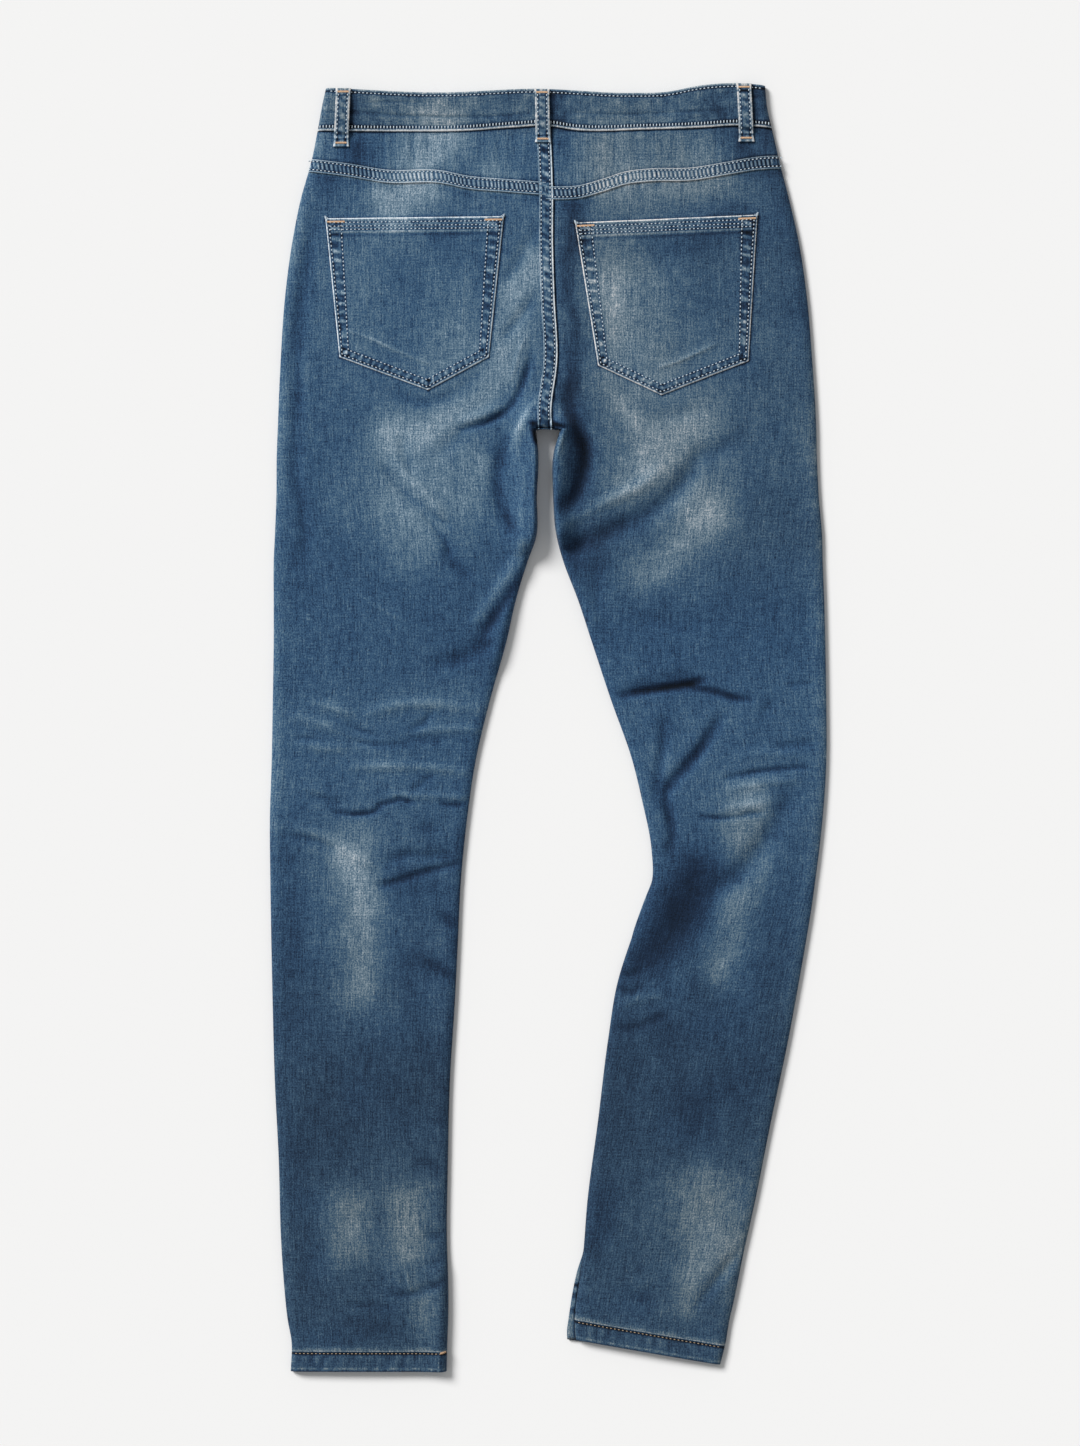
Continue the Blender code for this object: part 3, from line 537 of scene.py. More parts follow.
# Smooth noises: what each adds, its size across and along, its seed and its slant
Noise = namedtuple("Noise", "add across along seed slant", defaults=(0.0,))
RIPPLES = (Noise(0.35, 38, 55, 21), Noise(0.16, 15, 22, 22))
FOLD_UNEVEN = (Noise(0.25, 14, 14, 31),)
WARP_X = (Noise(5, 24, 24, 5),)
WARP_Y = (Noise(5, 24, 24, 6),)
BRUSHED = (Noise(0.06, 4.5, 34, 13), Noise(0.05, 11, 9, 14, slant=0.4))
BLOTCH = (Noise(0.04, 40, 55, 11), Noise(0.04, 14, 24, 12, slant=0.3))
TINT_UNEVEN = (Noise(0.25, 30, 30, 16),)
SIDE_PUCKER = (Noise(0.5, 30.0, 6.5, 15),)
DITCH_PUCKER = (Noise(1.0, 5.0, 40.0, 61), Noise(0.6, 2.6, 30.0, 62))
ABOVE_HEM_UNEVEN = (Noise(1.0, 11.0, 6.0, 63),)
BAND_RIPPLES = (Noise(0.25, 24, 12, 41),)
BAND_PUCKER = (Noise(1.0, 3.4, 9.0, 42),)
BAND_MOTTLE = (Noise(0.10, 6.0, 5.0, 43), Noise(0.08, 3.0, 3.0, 44))
RIB_UNEVEN = (Noise(0.3, 9, 1, 73),)
SEAT_SEAM_MOTTLE = (Noise(0.45, 3.0, 3.2, 83), Noise(0.25, 1.6, 1.8, 84))
SEAT_SEAM_UNEVEN = (Noise(1.0, 3.0, 3.0, 85),)
POCKET_MOTTLE = (Noise(0.3, 2.2, 2.2, 94),)
POCKET_EDGE_UNEVEN = (Noise(1.0, 2.5, 2.5, 95),)
POCKET_RIB_UNEVEN = (Noise(0.35, 3.0, 3.0, 96),)
POCKET_BAND_MOTTLE = (Noise(0.24, 1.6, 1.6, 97), Noise(0.16, 5.0, 3.0, 98))
POCKET_BAND_STREAKS = (Noise(1.0, 3.4, 30.0, 99),)
LOOP_RIB_UNEVEN = (Noise(0.7, 2.6, 2.6, 113),)
LOOP_EDGE_UNEVEN = (Noise(1.0, 2.4, 2.4, 114),)
LOOP_MOTTLE = (Noise(0.24, 1.7, 1.7, 115),)
HEM_RIB_UNEVEN = (Noise(0.7, 4.0, 9.0, 123),)
HEM_FINE = (Noise(0.12, 2.4, 1.0, 125),)

# Marks beside a line: what each adds, how far from the line, how wide, and what an uneven noise adds
Mark = namedtuple("Mark", "add at width uneven", defaults=(0.0,))
UNDER_YOKE_SEAM_WEAR = (Mark(0.30, 0.0, 0.9), Mark(-0.10, 4.0, 3.0))
ABOVE_HEM_WEAR = (Mark(0.36, 0.0, 2.8, 0.216),)
BAND_TOP_RELIEF = (Mark(-0.4, BAND_TOP_ROW, 1.0), Mark(0.0, 5.0, 5.0, 0.12))
BAND_LOW_RELIEF = (Mark(-0.55, BAND_LOW_ROW, 1.3), Mark(0.0, 6.0, 5.0, 0.12))
# Tables of wear and shade: pale marks are worn edges, fixed dark marks painted shade in stitch holes and
# beside edges
BAND_TOP_WEAR_AND_SHADE = (Mark(0.45, 0.4, 1.4, 0.135), Mark(HOLE_SHADE, BAND_TOP_ROW, 1.1), Mark(0.0, 7.0, 4.0, 0.16))
BAND_LOW_WEAR_AND_SHADE = (Mark(1.575, 0.6, 0.75, 0.35), Mark(HOLE_SHADE, BAND_LOW_ROW, 1.7), Mark(0.0, 8.0, 4.0, 0.16))
YOKE_SEAM_RELIEF = (
    Mark(-0.25, 3.9, 0.7), Mark(-0.25, -3.5, 0.7), Mark(RIB_RAISE, 5.2, 0.6), Mark(RIB_RAISE, -5.2, 0.6),
)
YOKE_SEAM_WEAR_AND_SHADE = (
    Mark(0.80, 5.2, 0.7), Mark(0.70, -5.3, 0.7),
    Mark(0.9 * HOLE_SHADE, 3.7, 0.8), Mark(HOLE_SHADE, -3.5, 0.8),
)
SEAT_SEAM_RELIEF = tuple(Mark(-0.25, row, 0.8) for row in SEAT_SEAM_ROWS)
SEAT_SEAM_WEAR_AND_SHADE = (
    Mark(1.7, 5.3, 0.65, 0.425), Mark(0.7, -5.5, 0.6, 0.175),
    *(Mark(HOLE_SHADE, row, 0.8) for row in SEAT_SEAM_ROWS),
)
POCKET_BAND_RELIEF = tuple(Mark(-0.2, row, 0.8) for row in POCKET_BAND_ROWS)
# the dark mark just below the band is painted shadow under its edge
POCKET_BAND_WEAR_AND_SHADE = (
    Mark(0.46, POCKET_BAND - 0.1, 0.8), Mark(-0.26, POCKET_BAND + 2.2, 1.8),
    Mark(0.0, POCKET_BAND + 4, 4, 0.10),
    *(Mark(0.95 * HOLE_SHADE, row, 0.85) for row in POCKET_BAND_ROWS),
)
POCKET_EDGE_RELIEF = (Mark(-0.25, POCKET_EDGE_ROW, 0.8),)
POCKET_EDGE_SHADE = (Mark(HOLE_SHADE, POCKET_EDGE_ROW + 0.1, 0.9),)
POCKET_EDGE_WEAR = (Mark(1.75, 0.2, 0.6, 0.525),)
LOOP_RELIEF = (Mark(-0.25, 3.7, 0.8), Mark(-0.25, -3.7, 0.8))
LOOP_SHADES = (Mark(0.8 * HOLE_SHADE, 3.5, 0.8), Mark(0.8 * HOLE_SHADE, -3.5, 0.8))
LOOP_EDGE_WEAR = (Mark(1.0, 0.8, 0.9, 0.25),)
# At each loop end: a dark line about 6 mm in, and a pale end
LOOP_END_MARKS = (Mark(-0.7, 6.2, 0.9), Mark(0.6, 0.8, 1.3))
HEM_RELIEF = (Mark(0.0, HEM_MIDDLE, 6, 0.15), Mark(-0.35, 1.8, 0.8))
HEM_WEAR_AND_SHADE = (
    Mark(0.0, HEM_MIDDLE, 6, 0.13), Mark(HOLE_SHADE, 2.2, 1.2), Mark(0.80, -0.2, 0.9),
    Mark(0.34, HEM_LENGTH - 2.8, 0.9, 0.17), Mark(-0.10, HEM_LENGTH, 1.0),
)
HEM_INSEAM = (Mark(0.40, 7.0, 0.8), Mark(-0.40, 5.6, 0.8))

# Dips in the back beside the seams that lie on it, and the light and shade painted on them; painted shade
# outside the pockets' edges, and the painted shadow of the belt loops on the waistband
Ditch = namedtuple("Ditch", "dip dip_width shade shade_width")
OVER_YOKE_SEAM = Ditch(-0.6, 1.6, -0.42, 1.3)
UNDER_YOKE_SEAM = Ditch(0.20, 9.0, 0.07, 8.0)
UNDER_BAND = Ditch(-0.5, 1.6, -0.62, 1.4)
BESIDE_SEAT_SEAM = Ditch(-0.6, 1.6, -0.70, 1.3)
POCKET_SHADES = (0.30, 0.55, 0.40, 0.30, 0.26)
POCKET_SHADE_WIDTH = 1.5
LOOP_SHADE = 0.42
LOOP_SHADE_WIDTH = 4.5

# Edges that turn down: how far, and over what width
Turn = namedtuple("Turn", "drop roll")
BAND_TOP_TURN = Turn(0.9, 2.0)
BAND_LOW_TURN = Turn(0.6, 1.0)
POCKET_TURN = Turn(0.5, 1.0)
LOOP_TURN = Turn(0.6, 1.2)
HEM_TURN = Turn(0.5, 1.6)
TUCK = 0.2

# The waistband's folded edge on the floor: how far down a row is, and its share of the thickness
EdgeRow = namedtuple("EdgeRow", "down share")
BAND_EDGE = (
    EdgeRow(5.0, 1.0), EdgeRow(1.2, 1.0), EdgeRow(0.35, 0.88), EdgeRow(0.0, 0.6), EdgeRow(0.1, 0.25),
    EdgeRow(0.7, 0.03), EdgeRow(1.5, 0.0),
)
BAND_DEPTH = 35.0
BAND_ENDS = (-195.0, 190.0)
HOLE_REACH = 0.7
YOKE_LAP = 2.0
YOKE_MIDDLE = 500.0
YOKE_SEAM_SIDE = 484.0

# The strip of the front that shows: its columns' place as a share of the strip, inset and drop
StripColumn = namedtuple("StripColumn", "share inset drop")
STRIP_COLUMNS = (
    StripColumn(1.0, 2.2, 0.0), StripColumn(1.0, 0.3, 0.0),
    StripColumn(0.6, 0.2, 0.15), StripColumn(0.25, 0.08, 0.5),
)
TURN_UP = 1.6
STRIP_FULL = 2.5
STRIP_RAISE = 1.3
STRIP_WEAR = 0.34
STRIP_SHADE = 0.9
PUCKER_WIDTH = 1.5
PUCKER_SHADE = 0.85

# How routes and rows are worked out
ROUTE_STEPS = 4
MEET_STEPS = 4
FOLD_REACH = 3.2
FOLD_END = 0.35
FOLD_TAPER = 0.6
WEAVE_SETTLED = -60.0

# Rings of one stitch: place along it, thickness and rise
StitchRing = namedtuple("StitchRing", "share thick rise")
STITCH_RINGS = (
    StitchRing(0.0, 0.55, -0.30), StitchRing(0.25, 1.0, 0.02),
    StitchRing(0.75, 1.0, 0.02), StitchRing(1.0, 0.55, -0.30),
)
STITCH_SIDES = 6
STITCH_FLATNESS = 0.8
# Loose threads at a pocket's corners: place along its mouth, and how far they reach
Frayed = namedtuple("Frayed", "along reach")
FRAYED = (Frayed(0.0, 3.4), Frayed(0.5, 2.4), Frayed(1.1, 1.6), Frayed(2.2, 1.0))


def through(places, values):
    """A smooth curve through points, as a function that gives the value at a place."""
    order = np.argsort(places)
    x = np.array(places, float)[order]
    y = np.array(values, float)[order]
    slope = np.gradient(y, x)

    def value(at):
        at = np.clip(at, x[0], x[-1])
        i = np.clip(np.searchsorted(x, at, side="right") - 1, 0, len(x) - 2)
        span = x[i + 1] - x[i]
        t = (at - x[i]) / span
        start = y[i] + t * t * (3 - 2 * t) * (y[i + 1] - y[i])
        bend = t * (1 - t) ** 2 * slope[i] - t * t * (1 - t) * slope[i + 1]
        return start + bend * span

    return value


def column(rows, place, value):
    """A smooth curve from two named columns of a table."""
    return through([getattr(r, place) for r in rows], [getattr(r, value) for r in rows])


left_side = column(SEAT, "y", "left")
right_side = column(SEAT, "y", "right")
seat_seam_x = column(SEAT, "y", "seam")
left_leg_side = column(LEFT_LEG, "y", "side")
left_inseam = column(LEFT_LEG, "y", "inseam")
right_leg_side = column(RIGHT_LEG, "y", "side")
right_inseam = column(RIGHT_LEG, "y", "inseam")
band_top = column(BAND_TOP, "x", "y")
band_bottom = column(BAND_BOTTOM, "x", "y")
yoke_seam_left = column(YOKE_SEAM_LEFT, "x", "y")
yoke_seam_right = column(YOKE_SEAM_RIGHT, "x", "y")
pale = column(PALE, "y", "wash")
strip_width = column(FRONT_STRIP, "y", "beyond")


def smooth_step(value, start, end):
    t = np.clip((value - start) / (end - start), 0.0, 1.0)
    return t * t * (3 - 2 * t)


def rounded(distance, roll):
    """A quarter round that rises from 0 at an edge to 1 at the roll's width."""
    t = np.clip(distance / roll, 0.0, 1.0)
    return np.sqrt(1 - (1 - t) ** 2)


def bell(distance, width):
    return np.exp(-((distance / width) ** 2))


def flat_bell(distance, width):
    """A bell with a broad top and steep sides."""
    return np.exp(-((distance / width) ** 4))


def arch(x, start, end):
    """A low arch from 0 at both ends to 1 midway."""
    across = np.clip((x - start) / (end - start), 0.0, 1.0)
    return 4 * across * (1 - across)


def marked(distance, marks, uneven=0.0):
    """The sum of a table of marks beside a line, where a noise makes some of them uneven."""
    return sum((m.add + m.uneven * uneven) * bell(distance - m.at, m.width) for m in marks)


def soft_noise(x, y, size_x, size_y, seed):
    """Smooth noise from -1 to 1 on a lattice of the given sizes."""
    u = x / size_x + 1000.5
    v = y / size_y + 1000.5
    i, j = np.floor(u).astype(np.int64), np.floor(v).astype(np.int64)
    fu, fv = u - i, v - j
    fu = fu * fu * (3 - 2 * fu)
    fv = fv * fv * (3 - 2 * fv)

    def corner(a, b):
        h = (a * 374761393 + b * 668265263 + (seed + SEED) * 974634777) & 0xFFFFFFFF
        h = ((h ^ (h >> 13)) * 1274126177) & 0xFFFFFFFF
        return ((h ^ (h >> 16)) & 0xFFFF) / 32767.5 - 1.0

    low = corner(i, j) * (1 - fu) + corner(i + 1, j) * fu
    high = corner(i, j + 1) * (1 - fu) + corner(i + 1, j + 1) * fu
    return low * (1 - fv) + high * fv


def noises(x, y, table):
    """The sum of a table of noises. A slant turns the lattice of one of them."""
    return sum(
        n.add * soft_noise(x + n.slant * y, y - n.slant * x, n.across, n.along, n.seed) for n in table
    )


def side_at(y, on_left):
    """The outer edge at a height, on either side."""
    left = np.where(y > CROTCH, left_side(y), left_leg_side(y))
    right = np.where(y > CROTCH, right_side(y), right_leg_side(y))
    return np.where(on_left, left, right)


def inseam_at(y, on_left):
    return np.where(on_left, left_inseam(y), right_inseam(y))


def inner_at(y, on_left):
    """The seat seam above the crotch, and the leg's inner edge below it."""
    return np.where(y > CROTCH, seat_seam_x(y), inseam_at(y, on_left))


def is_left(x, y):
    """Whether a point is on the left of the seat seam, or of its line further down."""
    return x < seat_seam_x(np.maximum(y, CROTCH_HIGH))


def yoke_line(x, on_left):
    return np.where(on_left, yoke_seam_left(x), yoke_seam_right(x))


def hem_line(on_left):
    return LEFT_HEM_LINE if on_left else RIGHT_HEM_LINE


def edge_distance(x, y):
    """How far a point of the back is from the nearest edge."""
    on_left = is_left(x, y)
    gap_inner = inseam_at(CROTCH_LOW, on_left)
    past_gap = np.where(on_left, gap_inner - x, x - gap_inner)
    above = np.hypot(np.maximum(past_gap, 0.0), y - CROTCH)
    inner = np.where(y > CROTCH, above, np.abs(x - inseam_at(y, on_left)))
    return np.minimum(np.abs(x - side_at(y, on_left)), inner)


def raised_by(x, y):
    """How far the cloth stands up beside the gap and at the left hem."""
    raised = np.zeros(np.shape(x))
    for thigh in THIGHS:
        gap = route_distance(x, y, np.array(thigh.route, float))[0]
        raised = np.maximum(raised, thigh.raise_by * bell(gap, thigh.width))
    return raised


def roll_width(x, y):
    """The edges roll over more steeply beside the narrow gap."""
    below = smooth_step(y, STEEP_FROM, STEEP_FULL)
    above = 1 - smooth_step(y, CROTCH, CROTCH + STEEP_ABOVE)
    return ROLL - (ROLL - STEEP_ROLL) * below * above * bell(x, STEEP_REACH)


def dome(x, y):
    """The slight dome of the back: one over the seat, which turns into one over each leg."""
    low = np.minimum(y, CROTCH_LOW)
    left_leg = arch(x, side_at(y, True), left_inseam(low))
    right_leg = arch(x, right_inseam(low), side_at(y, False))
    seat = arch(x, side_at(y, True), side_at(y, False))
    share = smooth_step(y, CROTCH, CROTCH + DOME_BLEND)
    return share * seat + (1 - share) * np.where(is_left(x, y), left_leg, right_leg)


def smooth_route(route):
    """A route's points with a smooth curve between them, closer together."""
    points = np.array(route, float)
    if len(points) < 3:
        return points
    place = np.arange(len(points))
    fine = np.linspace(0, len(points) - 1, ROUTE_STEPS * (len(points) - 1) + 1)
    return np.stack([through(place, points[:, 0])(fine), through(place, points[:, 1])(fine)], 1)


def route_distance(x, y, route):
    """Distance to a route, which side of it a point is on, and the place along it (0 to 1)."""
    nearest = np.full(x.shape, np.inf)
    side = np.zeros(x.shape)
    place = np.zeros(x.shape)
    pieces = len(route) - 1
    for k, ((ax, ay), (bx, by)) in enumerate(zip(route, route[1:])):
        length = (bx - ax) ** 2 + (by - ay) ** 2
        along = np.clip(((x - ax) * (bx - ax) + (y - ay) * (by - ay)) / length, 0, 1)
        gap = np.hypot(x - ax - along * (bx - ax), y - ay - along * (by - ay))
        turn = np.sign((bx - ax) * (y - ay) - (by - ay) * (x - ax))
        closer = gap < nearest
        nearest = np.where(closer, gap, nearest)
        side = np.where(closer, turn, side)
        place = np.where(closer, (k + along) / pieces, place)
    return nearest, side, place


def add_folds(x, y, folds):
    """The height, and the wear and painted shade, that a table of folds gives at each point."""
    height = np.zeros(x.shape)
    wear = np.zeros(x.shape)
    for fold in folds:
        route = smooth_route(fold.route)
        reach = FOLD_REACH * fold.width
        low, high = route.min(0) - reach, route.max(0) + reach
        near = (x > low[0]) & (x < high[0]) & (y > low[1]) & (y < high[1])
        if not near.any():
            continue
        px, py = x[near], y[near]
        gap, side, place = route_distance(px, py, route)
        ends = FOLD_END + (1 - FOLD_END) * np.clip(4 * place * (1 - place), 0, 1) ** FOLD_TAPER
        share = ends * (1 + noises(px, py, FOLD_UNEVEN))
        t = gap / fold.width
        shape = fold.height * np.exp(-t ** 2) + fold.step * side * t * np.exp(0.5 - t ** 2)
        height[near] += shape * share
        wear[near] += fold.wear * np.exp(-t ** 2) * share
    return height, wear


def wash_and_shade_at(x, y):
    """How pale the cloth is: each stretch's tone, wear and painted shade at the sides, and soft spots, some
    painted shade.
    """
    on_left = is_left(x, y)
    side = np.abs(x - side_at(y, on_left))
    right_hip = np.where(on_left, 0.0, smooth_step(y, *RIGHT_HIP))
    left_hip = np.where(on_left, smooth_step(y, *LEFT_HIP), 0.0)
    low_leg = np.where(on_left, 1.0, RIGHT_LOW_LEG) * smooth_step(-y, *LOW_LEG)
    share = 1 - SIDE_LESS.right_hip * right_hip - SIDE_LESS.low_leg * low_leg - SIDE_LESS.left_hip * left_hip
    pucker = 1 + noises(x, y, SIDE_PUCKER)
    total = pale(y) + SIDE_SHADE * right_hip * bell(side, SIDE_SHADE_WIDTH)
    total = total + SIDE_WEAR_AND_SHADE * share * bell(side, SIDE_WEAR_AND_SHADE_WIDTH - SIDE_WEAR_AND_SHADE_LESS * low_leg) * pucker
    warp_x, warp_y = x + noises(x, y, WARP_X), y + noises(x, y, WARP_Y)
    for spot in WASH_AND_SHADE_SPOTS:
        gap = route_distance(warp_x, warp_y, smooth_route(spot.route))[0]
        total = total + spot.add * bell(gap, spot.width)
    return total * (1 + noises(x, y, BRUSHED)) + noises(x, y, BLOTCH)


def tint_at(x, y):
    """Where the wash has left the cloth greyer: lower legs, waistband, right side, seat seam and knee."""
    lower = 0.25 * smooth_step(-y, 40.0, 110.0) + 0.75 * smooth_step(-y, 110.0, 360.0)
    right = 0.55 * smooth_step(x, 0.0, 45.0) * smooth_step(y, 70.0, 170.0)
    waist = 0.65 * smooth_step(y, 505.0, 518.0)
    beside_seam = 0.65 * bell(x - 26, 24) * smooth_step(y, 250.0, 290.0) * (1 - smooth_step(y, 430.0, 462.0))
    knee = 0.5 * bell(np.hypot(x - 172, y + 95), 40)
    return np.maximum.reduce([lower, right, waist, beside_seam, knee]) * (1 + noises(x, y, TINT_UNEVEN))


def back_surface(x, y):
    """Height, and wash with painted fold shade, of the back's upper face."""
    roll = rounded(edge_distance(x, y), roll_width(x, y))
    height, wear = add_folds(x, y, FOLDS)
    height = height + noises(x, y, RIPPLES)
    z = EDGE_MIDDLE + (LOFT + raised_by(x, y)) * roll + roll ** 2 * (DOME * dome(x, y) + height)
    return np.maximum(z, FRONT_CLOTH + ABOVE_FRONT), wash_and_shade_at(x, y) + wear


def back_height(x, y):
    return back_surface(x, y)[0]


def ring_height(x, left, right, raised, roll):
    """The upper face of a flat ring of cloth, such as the waistband, with both sides rolled over."""
    rise = LOFT + raised + DOME * arch(x, left, right)
    return EDGE_MIDDLE + rise * rounded(np.minimum(x - left, right - x), roll)


def band_height(x, y):
    return ring_height(x, left_side(y), right_side(y), BAND_RAISE, BAND_ROLL)


def hem_height(x, y, left, right):
    return ring_height(x, left, right, HEM_RAISE + raised_by(x, y), HEM_ROLL)


def stations(start, end, cells, spread_start=0.0, spread_end=0.0):
    """Places across a piece: close together at both edges, which may be spread wider, and even between."""
    way = np.sign(end - start)
    near = [start + way * s * (1 + spread_start / EDGE_STEPS[-1]) for s in EDGE_STEPS]
    far = [end - way * s * (1 + spread_end / EDGE_STEPS[-1]) for s in reversed(EDGE_STEPS)]
    middle = np.linspace(near[-1], far[0], cells + 1)[1:-1]
    return np.concatenate([near, middle, far])


def from_side(side, inner, on_left, cells, spread=0.0):
    """Places across a panel between its outer and its inner edge, from -X to +X."""
    if on_left:
        return stations(side, inner, cells, 0.0, spread)
    return stations(inner, side, cells, spread, 0.0)


def meet_side(row_y, y_start, on_left):
    """Where a row that rises or falls across the panel meets its outer edge."""
    x = float(side_at(y_start, on_left))
    for _ in range(MEET_STEPS):
        x = float(side_at(row_y(x), on_left))
    return x


def grid_of(rows):
    """Rows of places x and of heights y as two arrays."""
    return np.array([x for x, _ in rows]), np.array([y for _, y in rows])


def linear(colour):
    """Display values from 0 to 255 as linear light."""
    c = np.array(colour, float) / 255
    return np.where(c <= 0.04045, c / 12.92, ((c + 0.055) / 1.055) ** 2.4)


def set_inputs(tree, node, inputs):
    """Gives a node's inputs their values, or links them to the sockets that they come from."""
    for key, value in inputs.items():
        if isinstance(value, bpy.types.NodeSocket):
            tree.links.new(value, node.inputs[key])
        else:
            node.inputs[key].default_value = value


def add_node(tree, kind, inputs=None, **settings):
    node = tree.nodes.new(kind)
    for key, value in settings.items():
        setattr(node, key, value)
    set_inputs(tree, node, inputs or {})
    return node


def set_stops(ramp, places, colours):
    """Gives a colour ramp its stops, from 0 to 1, in linear colours."""
    stops = ramp.color_ramp.elements
    for place in places[1:-1]:
        stops.new(place)
    for stop, place, colour in zip(stops, places, colours):
        stop.position = place
        stop.color = (*colour, 1.0)


def plain(name, inputs):
    """A material with the given inputs of its shader. Returns it, its node tree and the shader."""
    made = bpy.data.materials.new(name)
    made.use_nodes = True
    shader = made.node_tree.nodes["Principled BSDF"]
    set_inputs(made.node_tree, shader, inputs)
    return made, made.node_tree, shader


def denim(name, grain=1.0):
    """Washed twill: the wash, with painted shade in it, picks the tone, and threads, slubs and grain vary it.
    """
    made, tree, shader = plain(name, DENIM_SHADER)
    wash, tint, weave = (
        add_node(tree, "ShaderNodeAttribute", attribute_name=key).outputs for key in ("wash", "tint", "weave")
    )

    def pattern(row):
        """Noise with a size in millimetres across and along the cloth."""
        sizes = (1 / (row.across * MM), 1 / (row.along * MM), 1)
        place = add_node(tree, "ShaderNodeMapping", {"Vector": weave["Vector"], "Scale": sizes})
        noise = {"Vector": place.outputs["Vector"], "Scale": 1.0, "Detail": row.detail, "Roughness": 0.6}
        return add_node(tree, "ShaderNodeTexNoise", noise, noise_dimensions="2D").outputs["Fac"]

    def combine(first, times, second):
        """first * times + second, where each is a socket or a number"""
        inputs = {0: first, 1: times, 2: second}
        return add_node(tree, "ShaderNodeMath", inputs, operation="MULTIPLY_ADD").outputs[0]

    threads = -0.5 * sum(row.share for row in GRAIN)
    for row in GRAIN:
        threads = combine(pattern(row), row.share, threads)
    strength = combine(wash["Fac"], GRAIN_BY_WASH * grain, GRAIN_BASE * grain)
    tone = combine(threads, strength, wash["Fac"])

    first, last = TONES[0].wash, TONES[-1].wash
    spread = add_node(tree, "ShaderNodeMapRange", {"Value": tone, "From Min": first, "From Max": last})
    ramp = add_node(tree, "ShaderNodeValToRGB", {"Fac": spread.outputs["Result"]})
    colours = [linear((t.red, t.green, t.blue)) / LIGHT_LEVEL for t in TONES]
    set_stops(ramp, [(t.wash - first) / (last - first) for t in TONES], colours)
    # The mix node's colour sockets have numbers: 0 the factor, 6 and 7 the colours, 2 the result
    greyer = {0: tint["Fac"], 6: ramp.outputs["Color"], 7: (*GREY, 1.0)}
    greyed = add_node(tree, "ShaderNodeMix", greyer, data_type="RGBA", blend_type="MULTIPLY").outputs[2]
    bump = {"Height": threads, "Strength": 0.4, "Distance": 0.35 * MM}
    normal = add_node(tree, "ShaderNodeBump", bump).outputs["Normal"]
    set_inputs(tree, shader, {"Base Color": greyed, "Normal": normal})
    return made


def mottled(name, colour, roughness, size, contrast, metallic=0.0, bump=0.0):
    """A colour that varies with a noise of the given size in millimetres, with a little bump."""
    inputs = {"Base Color": (*linear(colour), 1.0), "Roughness": roughness, "Metallic": metallic}
    made, tree, shader = plain(name, inputs)
    place = add_node(tree, "ShaderNodeTexCoord").outputs["Object"]
    noise = {"Vector": place, "Scale": 1 / (size * MM), "Detail": 3.0}
    mottle = add_node(tree, "ShaderNodeTexNoise", noise).outputs["Fac"]
    ramp = add_node(tree, "ShaderNodeValToRGB", {"Fac": mottle})
    shares = (1 - contrast, 1 + contrast)
    set_stops(ramp, (0.3, 0.7), [linear(np.clip(np.array(colour) * share, 0, 255)) for share in shares])
    relief = {"Height": mottle, "Strength": 0.5, "Distance": bump * MM}
    normal = add_node(tree, "ShaderNodeBump", relief).outputs["Normal"]
    set_inputs(tree, shader, {"Base Color": ramp.outputs["Color"], "Normal": normal})
    return made


def thread_material(name, colour):
    return mottled(name, colour, roughness=0.8, size=0.9, contrast=0.10, bump=0.1)


def add_mesh(name, verts, faces, material):
    """A mesh object from arrays of points in millimetres and of faces with equal corners."""
    mesh = bpy.data.meshes.new(name)
    corners = faces.shape[1]
    mesh.vertices.add(len(verts))
    mesh.vertices.foreach_set("co", (verts * MM).astype(np.float32).ravel())
    mesh.loops.add(faces.size)
    mesh.loops.foreach_set("vertex_index", faces.astype(np.int32).ravel())
    mesh.polygons.add(len(faces))
    mesh.polygons.foreach_set("loop_start", np.arange(0, faces.size, corners, dtype=np.int32))
    mesh.update(calc_edges=True)
    mesh.shade_smooth()
    mesh.materials.append(material)
    obj = bpy.data.objects.new(name, mesh)
    bpy.context.scene.collection.objects.link(obj)
    return obj


def grid_piece(name, sheet, material, weave=None, floor_half=None, hole=None):
    """A sheet from grids of x, y, z and wash with painted shade. Its rows run from the waist down, its
    columns from -X to +X.

    A floor half is a second set of such grids. A hole is cut in it round a place.
    """
    grids = [(*sheet, *(weave or sheet[:2]))]
    if floor_half is not None:
        grids.append((*floor_half, *floor_half[:2]))
    points, faces, wash_and_shade_grids, cloths, first = [], [], [], [], 0
    for x, y, z, wash, u, v in grids:
        rows, cols = x.shape
        index = first + np.arange(rows * cols).reshape(rows, cols)
        quads = np.stack([index[:-1, :-1], index[1:, :-1], index[1:, 1:], index[:-1, 1:]], -1).reshape(-1, 4)
        points.append(np.stack([x, y, z], -1).reshape(-1, 3))
        if hole is not None and first:
            place, radius = hole
            middle = points[-1][quads - first].mean(1)
            inside = np.hypot(middle[:, 0] - place[0], middle[:, 1] - place[1]) < radius - 0.2
            quads = quads[~inside]
        faces.append(quads)
        wash_and_shade_grids.append(np.ravel(wash))
        cloths.append(np.stack([u, v, 0 * u], -1).reshape(-1, 3))
        first += rows * cols
    points = np.concatenate(points)
    obj = add_mesh(name, points, np.concatenate(faces), material)
    for key, kind, field, values in (
        ("wash", "FLOAT", "value", np.concatenate(wash_and_shade_grids)),
        ("tint", "FLOAT", "value", tint_at(points[:, 0], points[:, 1])),
        ("weave", "FLOAT_VECTOR", "vector", np.concatenate(cloths) * MM),
    ):
        layer = obj.data.attributes.new(key, kind, "POINT")
        layer.data.foreach_set(field, values.astype(np.float32).ravel())
    return obj


